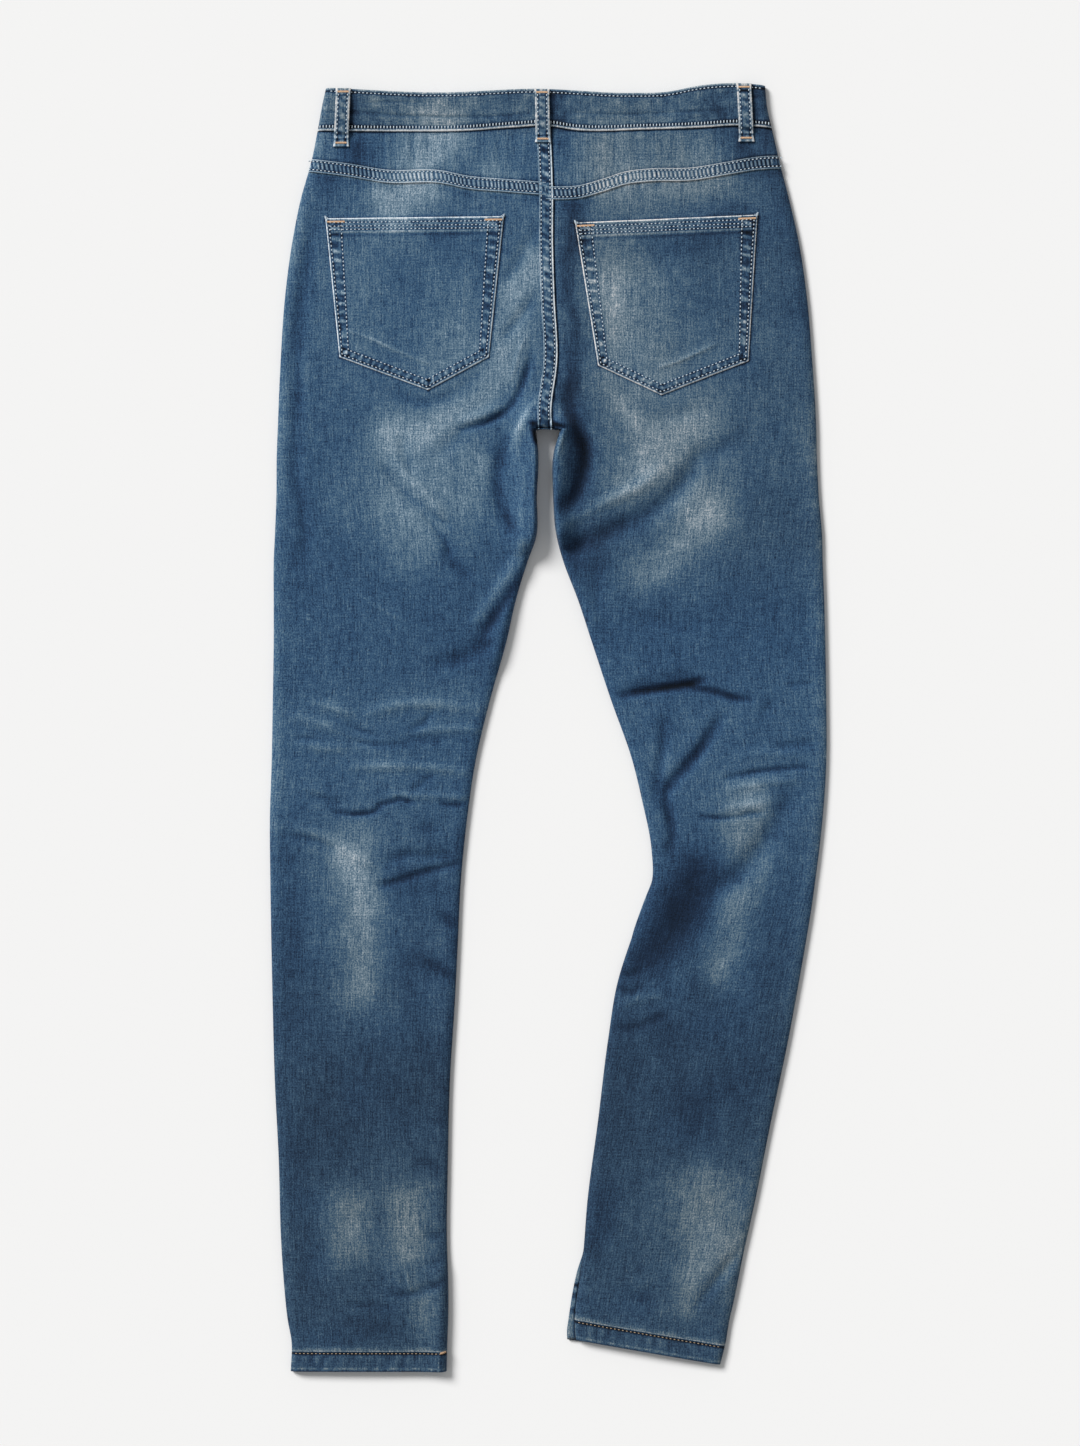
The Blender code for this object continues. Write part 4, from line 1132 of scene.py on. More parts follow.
def floor_side(x, y, thick, beyond=0.0):
    """A half that lies flat on the floor, its sides turned up to the back's. Returns x, y, z and wash with
    painted shade.

    Beyond is how far each row reaches past the first column, where it then shows from above.
    """
    beyond = np.zeros((len(x), 1)) + np.reshape(beyond, (-1, 1))
    x = x - beyond * ((x[:, -1:] - x) / (x[:, -1:] - x[:, :1])) ** 4
    first, last = x[:, :1], x[:, -1:]
    z = thick * (1 - rounded(np.minimum(x - first, last - x), TURN_UP))
    shows = np.minimum(beyond / STRIP_FULL, 1)
    top = thick + STRIP_RAISE * shows
    x = np.hstack([*(first + c.share * beyond + c.inset for c in STRIP_COLUMNS), x, last - 0.15, last - 2.2])
    z = np.hstack([*(top - c.drop * shows for c in STRIP_COLUMNS), z, thick + 0 * last, thick + 0 * last])
    y = np.hstack([y[:, :1]] * len(STRIP_COLUMNS) + [y] + [y[:, -1:]] * 2)
    wash = wash_and_shade_at(x, y)
    # Pale wear along the strip that shows, painted shade at its puckers, and a painted dark line along its
    # edge
    pucker = sum(bell(y[:, 1:6] - place, PUCKER_WIDTH) for place in PUCKERS)
    wash[:, 1:6] += shows * (STRIP_WEAR - PUCKER_SHADE * pucker)
    wash[:, 1:2] -= STRIP_SHADE * shows
    return x[:, ::-1], y[:, ::-1], z[:, ::-1], wash[:, ::-1]


def with_skirt(x, y, z, wash, drop):
    """Grids with their outer rows and columns repeated lower down, so that the edge is seen thick."""
    x, y, z, wash = (np.pad(g, 1, mode="edge") for g in (x, y, z, wash))
    for edge in (z[0], z[-1], z[:, 0], z[:, -1]):
        edge -= drop
    return x, y, z, wash


def dress(obj, slot, *nodes, **sheet):
    """Makes a piece ride on the part and stand for its nodes."""
    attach(obj, "root")
    if nodes:
        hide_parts(*nodes)
    return obj


def leg_rows(on_left, top_line, cells, row_step):
    """Grids of x and y across one leg panel, from the seam at its top to the hem line."""
    top = float(top_line(CENTRE_FRONT))
    end = hem_line(on_left)
    low = np.linspace(CROTCH_LOW, end, int((CROTCH_LOW - end) / row_step))
    high = np.linspace(top, CROTCH_HIGH, int((top - CROTCH_HIGH) / row_step))
    rows = []
    for y_inner in np.concatenate([high, low]):
        x_inner = float(inner_at(y_inner, on_left))
        lean = 0.0 if on_left else HEM_LEAN * smooth_step(-y_inner, -LEAN_FROM, -end)
        bow = smooth_step(y_inner, top - SEAM_FADE, top)

        def row_y(x):
            return y_inner + lean * (x - x_inner) + bow * (top_line(x) - top)

        # Above the crotch the columns spread, so that they meet those of the leg
        spread = abs(float(inner_at(CROTCH_LOW, on_left)) - x_inner) if y_inner > CROTCH else 0.0
        spread *= 1 - smooth_step(y_inner, CROTCH, CROTCH + CROTCH_SPREAD)
        x = from_side(meet_side(row_y, y_inner, on_left), x_inner, on_left, cells, spread)
        rows.append((x, row_y(x)))
    return grid_of(rows)


def leg_weave(x, y, on_left):
    """Places on the cloth, so that its threads follow the leg."""
    middle = (side_at(y, on_left) + inner_at(y, on_left)) / 2
    settled = smooth_step(-y, -CROTCH, -WEAVE_SETTLED)
    knee = float((side_at(WEAVE_SETTLED, on_left) + inner_at(WEAVE_SETTLED, on_left)) / 2)
    return x - settled * (middle - knee), y


def add_lips(x, y, z, wash, weave, on_left, both=False):
    """Adds the folded edges at the outer sides of a panel, or at both sides, down to the front."""
    def lips(edge, inward, rolled):
        out = []
        for lip in LIP:
            level = np.where(rolled, lip.height, z[:, edge] - LIP_DROP)
            place = x[:, edge] + np.where(rolled, lip.inset * inward, 0.0)
            out.append((place, y[:, edge], level, wash[:, edge], weave[0][:, edge], weave[1][:, edge]))
        return out

    below = (y[:, -1 if on_left else 0] < CROTCH) | both
    always = np.ones(len(y), bool)
    first = lips(0, 1, always if on_left else below)
    last = lips(-1, -1, below if on_left else always)[::-1]
    grids = (x, y, z, wash, *weave)
    x, y, z, wash, u, v = (
        np.concatenate([np.stack([f[k] for f in first], 1), g, np.stack([f[k] for f in last], 1)], 1)
        for k, g in enumerate(grids)
    )
    return (x, y, z, wash), (u, v)


def seam_ditch(x, y):
    """The cloth dips beside the seams that lie on it, and painted shade darkens the dips. Returns height and
    wash.
    """
    on_left = is_left(x, y)
    from_yoke_seam = y - yoke_line(x, on_left)
    under_yoke_seam = -from_yoke_seam - YOKE_SEAM_WIDTH / 2
    beside = (
        (OVER_YOKE_SEAM, from_yoke_seam - YOKE_SEAM_WIDTH / 2, 1.0),
        (UNDER_YOKE_SEAM, np.maximum(under_yoke_seam, 0), noises(x, y, DITCH_PUCKER)),
        (UNDER_BAND, band_bottom(x) - y, 1.0),
        (BESIDE_SEAT_SEAM, x - seat_seam_x(y) - SEAT_SEAM_WIDTH / 2, y > CROTCH),
    )
    height = sum(share * ditch.dip * bell(gap, ditch.dip_width) for ditch, gap, share in beside)
    wash = sum(share * ditch.shade * bell(gap, ditch.shade_width) for ditch, gap, share in beside)
    wash = wash + marked(under_yoke_seam, UNDER_YOKE_SEAM_WEAR)
    right_hem = RIGHT_HEM_LINE + HEM_LEAN * (x - float(right_inseam(RIGHT_HEM_LINE)))
    above_hem = np.maximum(y - np.where(on_left, LEFT_HEM_LINE, right_hem), 0)
    wash = wash + marked(above_hem, ABOVE_HEM_WEAR, noises(x, y, ABOVE_HEM_UNEVEN))
    # Painted shade just outside each pocket's edges
    for pocket in POCKETS:
        for edge, shade in zip(pocket_edges(pocket), POCKET_SHADES):
            inset, along, length = edge_inset(x, y, edge)
            near = (along > -1) & (along < length + 1) & (inset < POCKET_SHADE_WIDTH)
            wash = wash - np.where(near, shade * bell(np.maximum(-inset, 0), POCKET_SHADE_WIDTH), 0.0)
    return height, wash


def back_cloth(name, on_left, x, y, weave, material, **sheet):
    """A panel of the back: its surface, the dips beside its seams and its folded edges."""
    z, wash = back_surface(x, y)
    ditch, shade = seam_ditch(x, y)
    cloth, weave = add_lips(x, y, z + ditch, wash + shade, weave, on_left)
    piece = grid_piece(f"{name}_cloth", cloth, material, weave)
    return dress(piece, "denim", name, **sheet)


def back_panel(side, on_left, material):
    seam = yoke_seam_left if on_left else yoke_seam_right
    x, y = leg_rows(on_left, seam, 122, 1.75)
    sheet = {"flat": (0.25, 1.02), "area": 0.17, "rests_on": [f"front_{side}_cloth"]}
    return back_cloth(f"back_{side}", on_left, x, y, leg_weave(x, y, on_left), material, **sheet)


def front(side, on_left, material):
    """A front leg panel, flat on the floor, seen past the back beside the right hem."""
    x, y = leg_rows(on_left, lambda at: FRONT_REACH + 0.0 * at, 60, 2.6)
    beyond = 0.0 if on_left else np.maximum(strip_width(y[:, 0]), 0.0)
    x, y, z, wash = floor_side(x, y, FRONT_CLOTH, beyond)
    piece = grid_piece(f"front_{side}_cloth", (x, y, z, wash - 0.04), material)
    return dress(piece, "denim", f"front_{side}", flat=(0.25, 1.06), area=0.19)


def yoke(side, on_left, material):
    seam = yoke_seam_left if on_left else yoke_seam_right
    rows = []
    for v in np.linspace(0.0, 1.0, 40):
        def row_y(x):
            return (1 - v) * (band_bottom(x) + YOKE_LAP) + v * seam(x)

        y_seam = (1 - v) * band_bottom(CENTRE_FRONT) + v * seam(CENTRE_FRONT)
        x_side = meet_side(row_y, YOKE_MIDDLE, on_left)
        x = from_side(x_side, float(seat_seam_x(y_seam)), on_left, 130)
        rows.append((x, row_y(x)))
    x, y = grid_of(rows)
    sheet = {"flat": (0.2, 0.055), "area": 0.0085, "rests_on": ["waistband_cloth"]}
    return back_cloth(f"yoke_{side}", on_left, x, y, (x, y), material, **sheet)


def band_row(row_y, cells):
    """One row across the waistband, from side to side. Returns its x and y."""
    first, last = BAND_ENDS
    x = stations(float(left_side(row_y(first))), float(right_side(row_y(last))), cells)
    return x, row_y(x)


def waistband(material):
    """The waistband all round. Its back is rounded over at the top and worn white along its lower edge."""
    near_top, near_low = [0.0, 0.0, 0.004, 0.016, 0.035], [0.97, 0.99, 1.0, 1.0]
    shares = np.concatenate([near_top, np.linspace(0.05, 0.94, 44), near_low])
    x, y = grid_of([band_row(lambda x: (1 - v) * band_top(x) + v * band_bottom(x), 420) for v in shares])
    below_top, above_low = band_top(x) - y, y - band_bottom(x)
    height, wear = add_folds(x, y, BAND_FOLDS)
    pucker = noises(x, y, BAND_PUCKER)
    z = band_height(x, y) + height + noises(x, y, BAND_RIPPLES)
    z = z - BAND_TOP_TURN.drop * (1 - rounded(below_top, BAND_TOP_TURN.roll))
    z = z - BAND_LOW_TURN.drop * (1 - rounded(above_low, BAND_LOW_TURN.roll))
    z = z + marked(below_top, BAND_TOP_RELIEF, pucker) + marked(above_low, BAND_LOW_RELIEF, pucker)
    z[0] = EDGE_MIDDLE
    z[-1] = back_height(x[-1], y[-1]) - TUCK
    wash = wash_and_shade_at(x, y) + wear + noises(x, y, BAND_MOTTLE)
    wash = wash + marked(below_top, BAND_TOP_WEAR_AND_SHADE, pucker) + marked(above_low, BAND_LOW_WEAR_AND_SHADE, pucker)
    # Painted shadow of each belt loop on the waistband, to its right
    for loop in LOOPS:
        beside = x - loop.top[0] - LOOP_WIDTH / 2
        wash = wash - LOOP_SHADE * np.where(beside > -2, bell(np.maximum(beside, 0), LOOP_SHADE_WIDTH), 0.0)
    cloth, weave = add_lips(x, y, z, wash, (x, y), True, both=True)
    hole = (BUTTON_PLACE, BUTTON_HOLE)
    piece = grid_piece("waistband_cloth", cloth, material, weave, floor_half=waistband_front(), hole=hole)
    return dress(piece, "denim", "waistband", flat=(0.79, 0.039), area=0.0305, rests_on=["front_left_cloth"])


def waistband_front():
    """The front half of the waistband on the floor: its folded top edge, and a hole for the button."""
    flat = np.linspace(2.6, 32.5, 26)
    depths = np.concatenate([[turn.down for turn in BAND_EDGE], flat])
    levels = np.concatenate([[turn.share for turn in BAND_EDGE], 0 * flat]) * BAND_CLOTH

    def row(down):
        return band_row(lambda x: band_top(x) - down * (band_top(x) - band_bottom(x)) / BAND_DEPTH, 300)

    x, y, z, wash = floor_side(*grid_of([row(down) for down in depths]), BAND_CLOTH)
    z = np.maximum(z, levels[:, None])
    # The points nearest the button are pulled onto the hole's edge
    hole_x, hole_y = BUTTON_PLACE
    away = np.hypot(x - hole_x, y - hole_y)
    pull = np.where(np.abs(away - BUTTON_HOLE) < HOLE_REACH, BUTTON_HOLE / np.maximum(away, 1.0), 1.0)
    return hole_x + (x - hole_x) * pull, hole_y + (y - hole_y) * pull, z, wash - 0.05


def roping(along, seed, pitch):
    """The ribs of a seam that has shrunk on its thread: uneven waves, pale on top, from -1 to 1."""
    phase = along / pitch + 0.35 * soft_noise(along, 0 * along, 11.0, 1.0, seed)
    return np.sin(2 * np.pi * phase) * (0.75 + 0.25 * soft_noise(along, 0 * along, 6.0, 1.0, seed + 1))


def yoke_seam(side, on_left, material):
    """The felled seam: pale ribs between a stitch row at the top and one at the bottom."""
    seam = yoke_seam_left if on_left else yoke_seam_right
    across = YOKE_SEAM_WIDTH * np.linspace(0.5, -0.5, 28)
    rows = []
    for offset in across:
        def row_y(x):
            return seam(x) + offset

        x_side = meet_side(row_y, YOKE_SEAM_SIDE + offset, on_left)
        x = from_side(x_side, float(seat_seam_x(row_y(CENTRE_FRONT))), on_left, 430)
        rows.append((x, row_y(x)))
    x, y = grid_of(rows)
    t = np.repeat(across[:, None], x.shape[1], 1)
    rib = np.tanh(1.7 * roping(x + 0.15 * t, 71 + on_left, RIB_PITCH)) * (1 + noises(x, 0 * x, RIB_UNEVEN))
    rib = rib * flat_bell(t - 0.1, 3.0)
    z = back_height(x, y) + SEAM_OUT + RIB_RAISE * rib + marked(t, YOKE_SEAM_RELIEF)
    wash = wash_and_shade_at(x, y) + 0.02 + 0.66 * rib + marked(t, YOKE_SEAM_WEAR_AND_SHADE)
    cloth = with_skirt(x, y, z, wash, SEAM_OUT + 0.3)
    piece = grid_piece(f"yoke_seam_{side}_cloth", cloth, material)
    sheet = {"flat": (0.2, 0.012), "area": 0.0024, "rests_on": ["back_left_cloth"]}
    return dress(piece, "worn_denim", f"yoke_seam_{side}", **sheet)


def seat_seam(material):
    """The felled seam down the seat, worn white along its right edge."""
    start = float(band_bottom(CENTRE_FRONT)) + 4
    y_line = np.linspace(start, CROTCH_HIGH - 1.5, 440)
    across = SEAT_SEAM_WIDTH * np.linspace(-0.5, 0.5, 26)
    x = seat_seam_x(y_line)[:, None] + across[None, :]
    y = np.repeat(y_line[:, None], len(across), 1)
    t = np.repeat(across[None, :], len(y_line), 0)
    crest = bell(1 - roping(y + 0.5 * t, 81, SEAT_ROPE_PITCH), 0.65) + noises(x, y, SEAT_SEAM_MOTTLE)
    middle = flat_bell(t, 3.6)
    z = back_height(x, y) + SEAM_OUT + RIB_RAISE * crest * middle + marked(t, SEAT_SEAM_RELIEF)
    wash = wash_and_shade_at(x, y) + 0.04 + (0.78 * crest - 0.28) * middle
    wash = wash + marked(t, SEAT_SEAM_WEAR_AND_SHADE, noises(x, y, SEAT_SEAM_UNEVEN))
    cloth = with_skirt(x, y, z, wash, SEAM_OUT + 0.3)
    piece = grid_piece("seat_seam_cloth", cloth, material)
    sheet = {"flat": (0.012, 0.26), "area": 0.0031, "rests_on": ["back_left_cloth"]}
    return dress(piece, "worn_denim", "seat_seam", **sheet)


def pocket_edges(pocket):
    """The five edges in order round the pocket: top, right, lower right, lower left, left."""
    corners = [pocket.left_top, pocket.right_top, pocket.right_low, pocket.tip, pocket.left_low]
    return list(zip(corners, corners[1:] + corners[:1]))


def edge_inset(x, y, edge):
    """How far inside an edge a point is, how far along it, and the edge's length."""
    (ax, ay), (bx, by) = edge
    length = np.hypot(bx - ax, by - ay)
    inset = -((bx - ax) * (y - ay) - (by - ay) * (x - ax)) / length
    along = ((x - ax) * (bx - ax) + (y - ay) * (by - ay)) / length
    return inset, along, length


def pocket_band(x, y, inset):
    """What the pocket's turned top band adds to the height, and to the wash with painted shade in holes and
    under it.
    """
    step = smooth_step(-inset, -POCKET_BAND - 0.6, -POCKET_BAND + 0.2)
    height = POCKET_BAND_RAISE * step + marked(inset, POCKET_BAND_RELIEF)
    wash = (0.26 + noises(x, y, POCKET_BAND_MOTTLE)) * bell(inset - POCKET_BAND / 2 + 0.1, 6)
    return height, wash + marked(inset, POCKET_BAND_WEAR_AND_SHADE, noises(x, y, POCKET_BAND_STREAKS))


def pocket_margin(x, y, inset, along, length, k):
    """What side or lower edge k of the pocket adds to the height, and to the wash with painted shade in
    stitch holes.
    """
    near_mouth = {1: 1 - along / length, 4: along / length}.get(k, 0.0 * along)
    row = POCKET_INNER_ROW + (POCKET_SIDE_ROW - POCKET_INNER_ROW) * np.clip(near_mouth, 0, 1)
    within = (along > 0) & (along < length)
    pitch = LOW_ROPE_PITCH if k in (2, 3) else ROPE_PITCH
    rib = roping(along + 0.2 * inset, 91 + 7 * k, pitch) + noises(x, y, POCKET_RIB_UNEVEN)
    crest = bell(1 - rib, 0.6) + noises(x, y, POCKET_MOTTLE)
    margin = flat_bell(inset - (row + POCKET_EDGE_ROW) / 2, 0.52 * (row - POCKET_EDGE_ROW))
    height = RIB_RAISE * crest * margin + marked(inset, POCKET_EDGE_RELIEF)
    wash = (0.78 * crest - 0.26) * margin + marked(inset, POCKET_EDGE_SHADE)
    return height, wash + 0.75 * HOLE_SHADE * bell(inset - row, 0.8) * within


def pocket_surface(pocket, x, y):
    """Height, and wash with painted shade, of a patch pocket's upper face."""
    height, wear = add_folds(x, y, POCKET_FOLDS)
    z = back_height(x, y) + POCKET_OUT + height
    wash = wash_and_shade_at(x, y) + wear
    nearest = np.full(x.shape, np.inf)
    for k, edge in enumerate(pocket_edges(pocket)):
        inset, along, length = edge_inset(x, y, edge)
        nearest = np.minimum(nearest, inset)
        if k == 0:
            height, wear = pocket_band(x, y, inset)
        else:
            height, wear = pocket_margin(x, y, inset, along, length, k)
        z = z + height
        wash = wash + wear + marked(inset, POCKET_EDGE_WEAR, noises(x, y, POCKET_EDGE_UNEVEN))
    return z - POCKET_TURN.drop * (1 - rounded(nearest, POCKET_TURN.roll)), wash


def patch_pocket(pocket, material):
    left_top, right_top, right_low, tip, left_low = (np.array(corner) for corner in pocket[1:])
    tip_share = (tip[0] - left_low[0]) / (right_low[0] - left_low[0])
    left, right = np.linspace(0.008, tip_share, 104), np.linspace(tip_share, 0.992, 104)[1:]
    u = np.concatenate([[0, 0.003], left, right, [0.997, 1]])[:, None]
    v = np.concatenate([[0, 0.004], np.linspace(0.01, 0.985, 190), [0.99, 0.995, 1]])[:, None, None]
    top = left_top + u * (right_top - left_top)
    low_left = left_low + (u / tip_share) * (tip - left_low)
    low_right = tip + ((u - tip_share) / (1 - tip_share)) * (right_low - tip)
    low = np.where(u <= tip_share, low_left, low_right)
    place = top[None] + v * (low - top)[None]
    x, y = place[..., 0], place[..., 1]
    cloth = with_skirt(x, y, *pocket_surface(pocket, x, y), POCKET_OUT)
    piece = grid_piece(f"pocket_{pocket.name}_cloth", cloth, material)
    sheet = {"flat": (0.157, 0.155), "area": 0.021, "rests_on": [f"back_{pocket.name}_cloth"]}
    return dress(piece, "denim", f"pocket_{pocket.name}", **sheet)


def loop_surface(loop, x, y, t, share):
    """Height, and wash with painted shade, of a belt loop at t millimetres across and a share of its length.
    """
    band_end = band_bottom(x)
    over = smooth_step(y, band_end - 4.0, band_end - 1.0)
    tail = back_height(x, y) + (SEAM_OUT if loop.name == "centre" else 0.0)
    base = over * band_height(x, np.maximum(y, band_end)) + (1 - over) * tail
    lifted = LOOP_LIFT * np.sin(np.pi * np.clip(share * 1.1, 0, 1))
    slant = roping(y + 0.5 * t, 111 + len(loop.name), ROPE_PITCH) + noises(x, y, LOOP_RIB_UNEVEN)
    edge = LOOP_WIDTH / 2 - np.abs(t)
    z = base + LOOP_OUT + lifted + 0.2 * slant * bell(t, 3.0) + marked(t, LOOP_RELIEF)
    z = z - LOOP_TURN.drop * (1 - rounded(edge, LOOP_TURN.roll))
    wash = 0.5 * wash_and_shade_at(x, y) + 0.40 + noises(x, y, LOOP_MOTTLE)
    wash = wash + 0.40 * np.tanh(1.3 * slant) * bell(t, 3.2) + marked(t, LOOP_SHADES)
    wash = wash + marked(edge, LOOP_EDGE_WEAR, noises(x, y, LOOP_EDGE_UNEVEN))
    for from_end in (share, 1.0 - share):
        wash = wash + marked(from_end * LOOP_LENGTH, LOOP_END_MARKS)
    return z, wash


def belt_loop(loop, material):
    (top_x, top_y), (low_x, low_y) = loop.top, loop.bottom
    share = np.linspace(0.0, 1.0, 110)[:, None]
    t = LOOP_WIDTH * np.concatenate([[-0.5, -0.49], np.linspace(-0.46, 0.46, 24), [0.49, 0.5]])[None]
    flare = 1 + 0.10 * bell(share - 1.0, 0.06) + 0.05 * bell(share, 0.05)
    x = top_x + share * (low_x - top_x) + t * flare
    y = top_y + share * (low_y - top_y) + 0 * t
    z, wash = loop_surface(loop, x, y, t + 0 * share, share + 0 * t)
    cloth = with_skirt(x, y, z, wash, LOOP_OUT)
    piece = grid_piece(f"belt_loop_{loop.name}_cloth", cloth, material)
    sheet = {"flat": (0.0125, 0.05), "area": 0.00062, "rests_on": ["waistband_cloth"]}
    return dress(piece, "denim", f"belt_loop_{loop.name}", **sheet)


def hem_rows(on_left):
    """Grids over a hem's upper face: x, y, the distance below its line, and both edges."""
    lean = 0.0 if on_left else HEM_LEAN
    last = [HEM_LENGTH - 0.5, HEM_LENGTH - 0.1, HEM_LENGTH]
    down = np.concatenate([[-0.2, 0.0, 0.4], np.linspace(1.0, HEM_LENGTH - 1.2, 26), last])
    rows = []
    for d in down:
        y_inner = hem_line(on_left) - d
        x_inner = float(inner_at(y_inner, on_left))

        def row_y(x):
            return y_inner + lean * (x - x_inner)

        x = from_side(meet_side(row_y, y_inner, on_left), x_inner, on_left, 200)
        rows.append((x, row_y(x)))
    x, y = grid_of(rows)
    return x, y, down[:, None], x[:, :1], x[:, -1:]


def hem(side, on_left, material):
    """The turned hem: a pale worn line above its stitches, and ribs down to its edge."""
    x, y, down, left, right = hem_rows(on_left)
    along = x - left
    rib = roping(along + 0.3 * down, 121 + on_left, HEM_ROPE_PITCH)
    rib = rib + noises(along, down + 0 * x, HEM_RIB_UNEVEN)
    fine = np.maximum(noises(along, 0 * x, HEM_FINE), 0)
    z = hem_height(x, y, left, right) + marked(down, HEM_RELIEF, rib)
    z = z - HEM_TURN.drop * (1 - rounded(HEM_LENGTH - down, HEM_TURN.roll))
    wash = wash_and_shade_at(x, y) + 0.01 + marked(down, HEM_WEAR_AND_SHADE, rib) + fine * bell(down - HEM_MIDDLE, 6)
    if on_left:
        wash = wash + marked(right - x, HEM_INSEAM)
    z[-1] = EDGE_MIDDLE - 0.6
    x_floor, y_floor = np.vstack([x, x[-8:-7]]), np.vstack([y, y[-8:-7]])
    beyond = 0.0 if on_left else np.maximum(strip_width(y_floor[:, 0]), 0.0)
    floor_x, floor_y, floor_z, floor_wash = floor_side(x_floor, y_floor, BAND_CLOTH, beyond)
    lower_edge = BAND_CLOTH * (1 - rounded(HEM_LENGTH - np.append(down[:, 0], HEM_LENGTH), 1.5))
    half = (floor_x, floor_y, np.maximum(floor_z, lower_edge[:, None]), floor_wash)
    cloth, weave = add_lips(x, y, z, wash, (x, y), on_left)
    piece = grid_piece(f"hem_{side}_cloth", cloth, material, weave, floor_half=half)
    sheet = {"flat": (0.275, 0.02), "area": 0.0052, "rests_on": [f"front_{side}_cloth"]}
    return dress(piece, "denim", f"hem_{side}", **sheet)


def stitches(name, rows, material, slot, pitch=STITCH_PITCH, length=STITCH_LENGTH, width=THREAD_WIDTH):
    """Thread that dives into the cloth between stitches. Each row is a line of (x, y, z) points."""
    starts, ends = [], []
    for row in rows:
        row = np.asarray(row, float)
        steps = np.hypot(*np.diff(row[:, :2], axis=0).T)
        place = np.concatenate([[0], np.cumsum(steps)])
        count = max(1, int(place[-1] / pitch))
        first = np.arange(count) * place[-1] / count
        for at, out in ((first, starts), (first + length, ends)):
            out.append(np.stack([np.interp(at, place, row[:, k]) for k in range(3)], 1))
    a, b = np.concatenate(starts), np.concatenate(ends)
    forward = b - a
    forward /= np.linalg.norm(forward, axis=1, keepdims=True)
    sideways = np.stack([-forward[:, 1], forward[:, 0], 0 * forward[:, 0]], 1)
    sideways /= np.maximum(np.linalg.norm(sideways, axis=1, keepdims=True), 1e-9)
    up = np.cross(forward, sideways)
    verts = []
    for ring in STITCH_RINGS:
        middle = a + ring.share * (b - a) + up * ring.rise * width
        for angle in np.linspace(0, 2 * np.pi, STITCH_SIDES + 1)[:-1]:
            round_way = sideways * np.cos(angle) + up * np.sin(angle) * STITCH_FLATNESS
            verts.append(middle + round_way * ring.thick * width / 2)
    verts = np.stack(verts, 1)
    corners = np.arange(STITCH_SIDES * len(STITCH_RINGS)).reshape(-1, STITCH_SIDES)
    after = np.roll(corners, -1, axis=1)
    walls = np.stack([corners[:-1], after[:-1], after[1:], corners[1:]], -1).reshape(-1, 4)
    last = corners[-1, 0]
    first_cap = [(3, 2, 1, 0), (5, 4, 3, 0)]
    last_cap = [(last, last + 1, last + 2, last + 3), (last, last + 3, last + 4, last + 5)]
    faces = np.concatenate([walls, first_cap, last_cap])
    every = (np.arange(len(a)) * verts.shape[1])[:, None, None] + faces[None]
    obj = add_mesh(name, verts.reshape(-1, 3), every.reshape(-1, 4), material)
    return dress(obj, slot)


def on_back(x, y):
    """A row of points on the felled seams of the back."""
    return np.column_stack([x, y, back_height(x, y) + SEAM_OUT])


def line_points(start, end, spacing=2.0):
    count = max(2, int(np.hypot(end[0] - start[0], end[1] - start[1]) / spacing))
    share = np.linspace(0, 1, count)[:, None]
    return np.array(start) + share * (np.array(end) - np.array(start))


def band_stitches(material):
    """A row along the waistband's top, and upright stitches along its lower edge."""
    x = np.linspace(-187, 184, 260)
    y = band_top(x) - BAND_TOP_ROW
    row = np.column_stack([x, y, band_height(x, y) - 0.1])
    rungs = []
    for x in np.arange(-196, 190, RUNG_PITCH):
        y = band_bottom(x) + BAND_LOW_ROW + RUNG_HEIGHT * np.array([-0.5, 0.5])
        rungs.append(np.column_stack([np.full(2, x), y, band_height(np.full(2, x), y) - 0.15]))
    stitches("stitches_rungs", rungs, material, "thread", pitch=RUNG_HEIGHT * 1.01, length=RUNG_HEIGHT)
    return stitches("stitches_waistband", [row], material, "thread")


def seam_stitches(material):
    rows = []
    for seam, start, end in ((yoke_seam_left, -206.0, -9.5), (yoke_seam_right, 5.0, 202.0)):
        x = np.linspace(start, end, 160)
        rows += [on_back(x, seam(x) + offset) for offset in YOKE_SEAM_ROWS]
    y = np.linspace(505, 262, 200)
    rows += [on_back(seat_seam_x(y) + offset, y) for offset in SEAT_SEAM_ROWS]
    return stitches("stitches_seams", rows, material, "thread")


def inset_corner(first, second, gap_first, gap_second):
    """Where two edges meet once both are moved in."""
    lines = []
    for ((ax, ay), (bx, by)), gap in ((first, gap_first), (second, gap_second)):
        length = np.hypot(bx - ax, by - ay)
        nx, ny = (by - ay) / length, -(bx - ax) / length
        lines.append((nx, ny, nx * ax + ny * ay + gap))
    (a, b, c), (d, e, f) = lines
    det = a * e - b * d
    return ((c * e - b * f) / det, (a * f - c * d) / det)


def pocket_stitches(pocket, material):
    """Two rows round the pocket, wider apart at its mouth, and rows along its band."""
    rows = []

    def lay(start, end):
        points = line_points(start, end)
        z = pocket_surface(pocket, points[:, 0], points[:, 1])[0] + 0.12
        rows.append(np.column_stack([points, z]))

    top, right, low_right, low_left, left = pocket_edges(pocket)
    for gap, wide in ((POCKET_EDGE_ROW, POCKET_EDGE_ROW), (POCKET_INNER_ROW, POCKET_SIDE_ROW)):
        corners = [
            inset_corner(top, right, POCKET_ROW_TOP, wide), inset_corner(right, low_right, gap, gap),
            inset_corner(low_right, low_left, gap, gap), inset_corner(low_left, left, gap, gap),
            inset_corner(left, top, wide, POCKET_ROW_TOP),
        ]
        for start, end in zip(corners, corners[1:]):
            lay(start, end)
    for depth in POCKET_BAND_ROWS:
        lay(inset_corner(left, top, 3.0, depth), inset_corner(top, right, depth, 3.0))
    return stitches(f"stitches_pocket_{pocket.name}", rows, material, "thread")


def hem_stitches(material):
    rows = []
    for on_left in (True, False):
        x, y, down, left, right = hem_rows(on_left)
        row = int(np.argmin(np.abs(down[:, 0] - HEM_ROW)))
        z = hem_height(x[row], y[row], left[row], right[row]) - 0.2
        rows.append(np.column_stack([x[row], y[row], z])[4:-4])
    return stitches("stitches_hems", rows, material, "tack_thread", width=HEM_THREAD_WIDTH)


